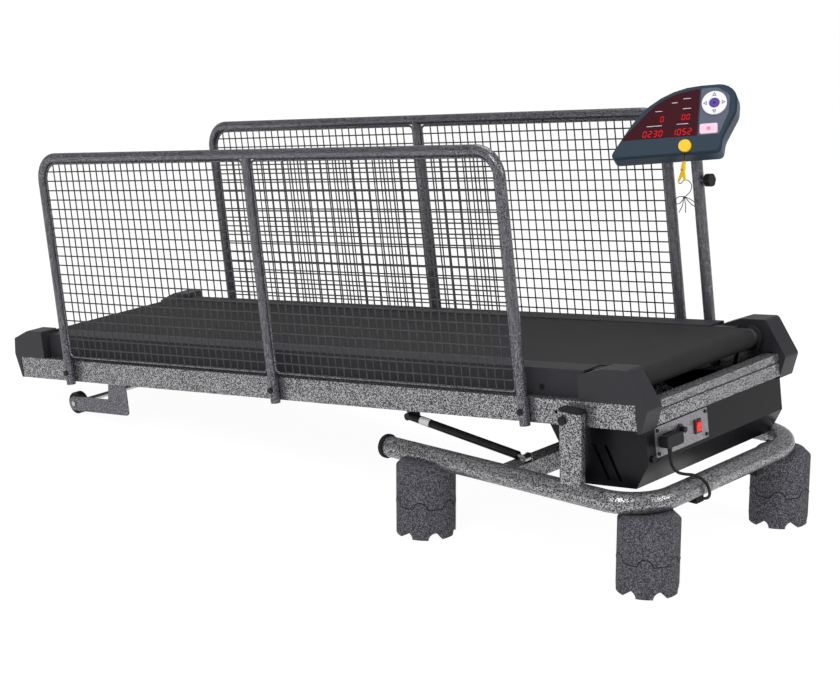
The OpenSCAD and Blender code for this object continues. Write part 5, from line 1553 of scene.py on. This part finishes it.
@dataclass
class PowerLead(Assembly):
    """Mains lead: over the base's front tube to the floor, coiled behind it and tied."""

    title: str = "power lead"
    diameter: float = 7 * MM
    sides: int = 14
    route: tuple[Point, ...] = (
        (200.2, -209.5, -69.7), (201.5, -209.2, -79), (203, -205.3, -91.5), (204.4, -196.5, -103.5),
        (206, -182.5, -113.5), (209.2, -163.6, -121), (217.8, -144.4, -126.1), (231.7, -130.9, -135.7),
        (240.8, -123.1, -149.2), (242.4, -114.2, -168.7), (232.8, -104.7, -185.3), (215.4, -96.2, -194.9),
        (198, -93, -198.9), (178, -96, -203.4), (163, -105, -209.7), (153.5, -116.5, -218.8),
        (149, -127, -230), (147, -136, -246), (147, -142, -265), (146.4, -144.6, -285.5),
        (144, -145.2, -303.4),
        (140, -141.6, -324.4), (134.4, -131, -342.4), (126.1, -114.6, -353.7), (116.8, -99.6, -357.8),
        (102.9, -82.9, -358.5), (95.2, -75.2, -358.5),
    )
    route_steps: int = 4
    blend_to: int = 6
    coil_from: Flat = (95, -75)
    coil_start: float = 45
    coil_radius: float = 50
    coil_turns: float = 2.5
    coil_climb: float = 0.5
    coil_gap: float = 0.6
    coil_rings: int = 36
    coil_low: float = -358.5
    tail_length: float = 40
    tail_steps: int = 4
    tie_turn: float = 205
    tie_wide: float = 9 * MM
    tie_thick: float = 0.8 * MM
    tie_inside: float = 0.6
    tie_steps: int = 6
    coats: dict[str, Coat] = field(default_factory=lambda: {"power_plug": Coat.KNOB, "mains_plug": Coat.KNOB})

    @property
    def pitch(self) -> float:
        """Distance between two turns, in millimetres."""
        return self.diameter / MM + self.coil_gap

    @property
    def coil_middle(self) -> Flat:
        """Middle of the coil, in millimetres."""
        a, (x, y) = math.radians(self.coil_start), self.coil_from
        return (x - self.coil_radius * math.cos(a), y - self.coil_radius * math.sin(a))

    def coil_point(self, turn: float) -> Vector:
        """A point of the coil: in along the floor, up half a turn, out again on top.

        Args:
            turn: turns from the coil's start.

        Returns:
            The point.
        """
        inward = min(turn, self.coil_turns + self.coil_climb / 2)
        outward = max(turn - self.coil_turns - self.coil_climb / 2, 0)
        radius = self.coil_radius - self.pitch * (inward - outward)
        climb = min(max(turn - self.coil_turns, 0), self.coil_climb) / self.coil_climb
        a = math.radians(self.coil_start + 360 * turn)
        x, y = self.coil_middle
        height = self.coil_low + self.pitch * climb
        return Places.level((x + radius * math.cos(a), y + radius * math.sin(a), height))

    def line(self) -> list[Vector]:
        """The lead's middle line.

        Returns:
            Its points, from the plug on the housing to the mains plug.
        """
        span = 2 * self.coil_turns + self.coil_climb
        rings = range(1, int(span * self.coil_rings) + 1)
        hung = Maker.spline([Places.level(p) for p in self.route], self.route_steps)
        coil = [self.coil_point(i / self.coil_rings) for i in rings]
        a = math.radians(self.coil_start + 360 * span)
        way = Vector((-math.sin(a), math.cos(a), 0)) * self.tail_length * MM
        tail = [coil[-1] + way * i / self.tail_steps for i in range(1, self.tail_steps + 1)]
        return [*hung, *coil, *tail]

    def tie(self) -> Piece:
        """Make the strap round the coil's turns.

        Returns:
            The strap.
        """
        a = math.radians(self.tie_turn)
        out = Vector((math.cos(a), math.sin(a), 0))
        along = Vector((-math.sin(a), math.cos(a), 0))
        half = self.diameter / 2
        far = self.coil_radius * MM + half + self.tie_thick
        near = (self.coil_radius - self.pitch * (self.coil_turns + self.tie_inside)) * MM - half
        low = self.coil_low * MM - half - self.tie_thick / 2
        high = (self.coil_low + self.pitch) * MM + half + self.tie_thick / 2
        plane = Axes(Places.level((*self.coil_middle, 0)), out, Vector((0, 0, 1)), along)
        middle = ((far + near) / 2, (low + high) / 2)
        outline = Maker.rounded_box(middle, far - near, high - low, half, self.tie_steps)
        w, t = self.tie_wide / 2, self.tie_thick / 2
        section = [(-t, -w), (t, -w), (t, w), (-t, w)]
        points: list[Vector] = []
        for x, y in outline:
            p = plane.at(x, y)
            toward = (p - plane.at(*middle)).normalized()
            points += [p + toward * sx + along * sy for sx, sy in section]
        faces = Maker.skin(len(outline), len(section), Ends.JOINED)
        return Maker.piece("coil_tie", points, faces, Coat.RUBBER, smooth=False)

    def build(self) -> list[Piece]:
        """Make the lead and its tie.

        Returns:
            Both pieces.
        """
        line, section = self.line(), Maker.circle(self.diameter / 2, self.sides)
        lead = Maker.piece("power_lead", *Maker.sweep(line, section), Coat.CORD)
        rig.replaces(lead, "power_cord", "cord_coil")
        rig.blend(lead, "deck", "base", start=line[0], end=Places.level(self.route[self.blend_to]))
        tie = self.tie()
        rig.ride(tie, "base")
        plugs = [frame["nodes"][node] for node in self.coats]
        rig.cord(lead, exit=line[0], length=length_of(line), diameter=self.diameter, far_end="plug",
                stiffness="medium", lay="coiled", path=line, with_pieces=[*plugs, tie])
        return [lead, tie]


# ---------------------------------------------------------------------------
# Studio
# ---------------------------------------------------------------------------


@dataclass(frozen=True)
class Lamp:
    """One soft square light: where it hangs and its side, in metres, and its output, in watts."""

    name: str
    place: Point
    side: float
    power: float

    def hang(self, aim: Point) -> None:
        """Hang the light.

        Args:
            aim: the point that it faces.
        """
        data = bpy.data.lights.new(self.name, "AREA")
        data.size, data.energy = self.side, self.power
        lamp = bpy.data.objects.new(self.name, data)
        lamp.location = self.place
        lamp.rotation_euler = (Vector(aim) - Vector(self.place)).to_track_quat("-Z", "Y").to_euler()
        bpy.context.scene.collection.objects.link(lamp)


@dataclass
class Studio:
    """Camera of the photograph, pale floor and wall, and soft lights."""

    image: tuple[int, int] = (840, 700)
    focal: float = 2160.2
    sensor: float = 36.0
    clip: Flat = (0.05, 200.0)
    eye: Point = (2733.0, -3909.5, 1463.6)
    azimuth: float = 41.37
    tilt_down: float = 16.18
    roll: float = -0.1
    white: Colour = (1.0, 1.0, 1.0)
    black: Colour = (0.0, 0.0, 0.0)
    floor_size: float = 60.0
    floor_drop: float = 0.4 * MM
    floor_colour: Colour = (0.1, 0.1, 0.1)
    floor_cloud: float = 0.5
    floor_glow: float = 0.96
    wall_share: float = 0.48
    wall_sides: int = 48
    wall_low: float = 0.5
    wall_cloud: float = 4.0
    sky: float = 0.4
    aim: Point = (0.0, 0.0, 0.5)
    lamps: tuple[Lamp, ...] = (
        Lamp("key_light", (1.5, -4.2, 4.2), 2.6, 150.0),
        Lamp("side_light", (4.4, 0.8, 2.6), 2.2, 60.0),
        Lamp("top_light", (-0.6, 1.2, 4.6), 3.0, 90.0),
    )

    def camera(self) -> None:
        """Set the camera that was fitted to the photograph."""
        data = bpy.data.cameras.new("photo_camera")
        data.sensor_fit = "HORIZONTAL"
        data.sensor_width = self.sensor
        data.lens = self.focal / self.image[0] * self.sensor
        data.clip_start, data.clip_end = self.clip
        turned = (
            Matrix.Rotation(math.radians(self.azimuth), 4, "Z")
            @ Matrix.Rotation(math.radians(90.0 - self.tilt_down), 4, "X")
            @ Matrix.Rotation(math.radians(self.roll), 4, "Z")
        )
        turned.translation = Places.level(self.eye)
        camera = bpy.data.objects.new("photo_camera", data)
        camera.matrix_world = turned
        bpy.context.scene.collection.objects.link(camera)
        bpy.context.scene.camera = camera

    @staticmethod
    def stand(name: str, points: Sequence[Point], faces: Faces, material: Material) -> Piece:
        """Put up one surface that isn't part of the object.

        Args:
            name: its name.
            points: its vertices, in metres.
            faces: vertex numbers of each face.
            material: its material.

        Returns:
            The linked object, marked as stage.
        """
        mesh = bpy.data.meshes.new(name)
        mesh.from_pydata(points, [], faces)
        mesh.materials.append(material)
        made = bpy.data.objects.new(name, mesh)
        bpy.context.scene.collection.objects.link(made)
        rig.stage(made)
        return made

    def floor(self) -> None:
        """Lay the floor."""
        g = Graph("studio_floor")
        faint = g.noise(self.floor_cloud, 2.0)
        material = g.surface(
            Base_Color=g.mix(faint, shade(self.floor_colour, 0.985), self.floor_colour),
            Roughness=0.9,
            Emission_Color=self.white,
            Emission_Strength=self.floor_glow,
            Specular_IOR_Level=0.0,
        )
        half = self.floor_size / 2
        corners = [(-half, -half, 0), (half, -half, 0), (half, half, 0), (-half, half, 0)]
        self.stand("studio_floor", corners, [[0, 1, 2, 3]], material).location.z = -self.floor_drop

    def wall(self) -> None:
        """Stand a pale wall round the floor, which the camera sees and the light passes."""
        g = Graph("studio_wall")
        faint = g.noise(self.wall_cloud, 1.0)
        material = g.surface(
            Base_Color=self.black,
            Roughness=1.0,
            Emission_Color=g.mix(faint, shade(self.white, 0.99), self.white),
            Emission_Strength=1.0,
            Specular_IOR_Level=0.0,
        )
        ring = Maker.circle(self.floor_size * self.wall_share, self.wall_sides)
        points = [(x, y, z) for z in (-self.wall_low, self.floor_size) for x, y in ring]
        wall = self.stand("studio_wall", points, Maker.skin(2, self.wall_sides, Ends.OPEN), material)
        wall.visible_diffuse = wall.visible_glossy = False
        wall.visible_transmission = wall.visible_shadow = False

    def light(self) -> None:
        """Set the sky and hang the lights."""
        world = bpy.data.worlds.new("studio_sky")
        world.use_nodes = True
        background = world.node_tree.nodes["Background"]
        background.inputs["Color"].default_value = (*self.white, 1.0)
        background.inputs["Strength"].default_value = self.sky
        bpy.context.scene.world = world
        for lamp in self.lamps:
            lamp.hang(self.aim)

    def build(self) -> None:
        """Set up everything round the object."""
        bpy.context.scene.view_settings.view_transform = "Standard"
        self.camera()
        self.floor()
        self.wall()
        self.light()


def main() -> None:
    """Build every sub-assembly in order, then the studio."""
    logging.basicConfig(level=logging.INFO, format="%(message)s")
    assemblies: tuple[Assembly, ...] = (
        PowerLead(), SafetyLanyard(), BaseStand(), LiftStrut(),
        RunningDeck(), MotorHousing(), SidePanels(), Console(),
    )
    for assembly in assemblies:
        assembly.dress()
        pieces = assembly.build()
        log.info("%s: %d nodes dressed, %d pieces added", assembly.title, len(assembly.coats), len(pieces))
        for piece in pieces:
            log.info("  %s: %d faces", piece.name, len(piece.data.polygons))
    Studio().build()
    with open(SIZE_FILE, "w") as out:
        json.dump({"cad": CAD_BOX, "visual": [list(corner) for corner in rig.bounds()]}, out)


if __name__ == "__main__":
    main()
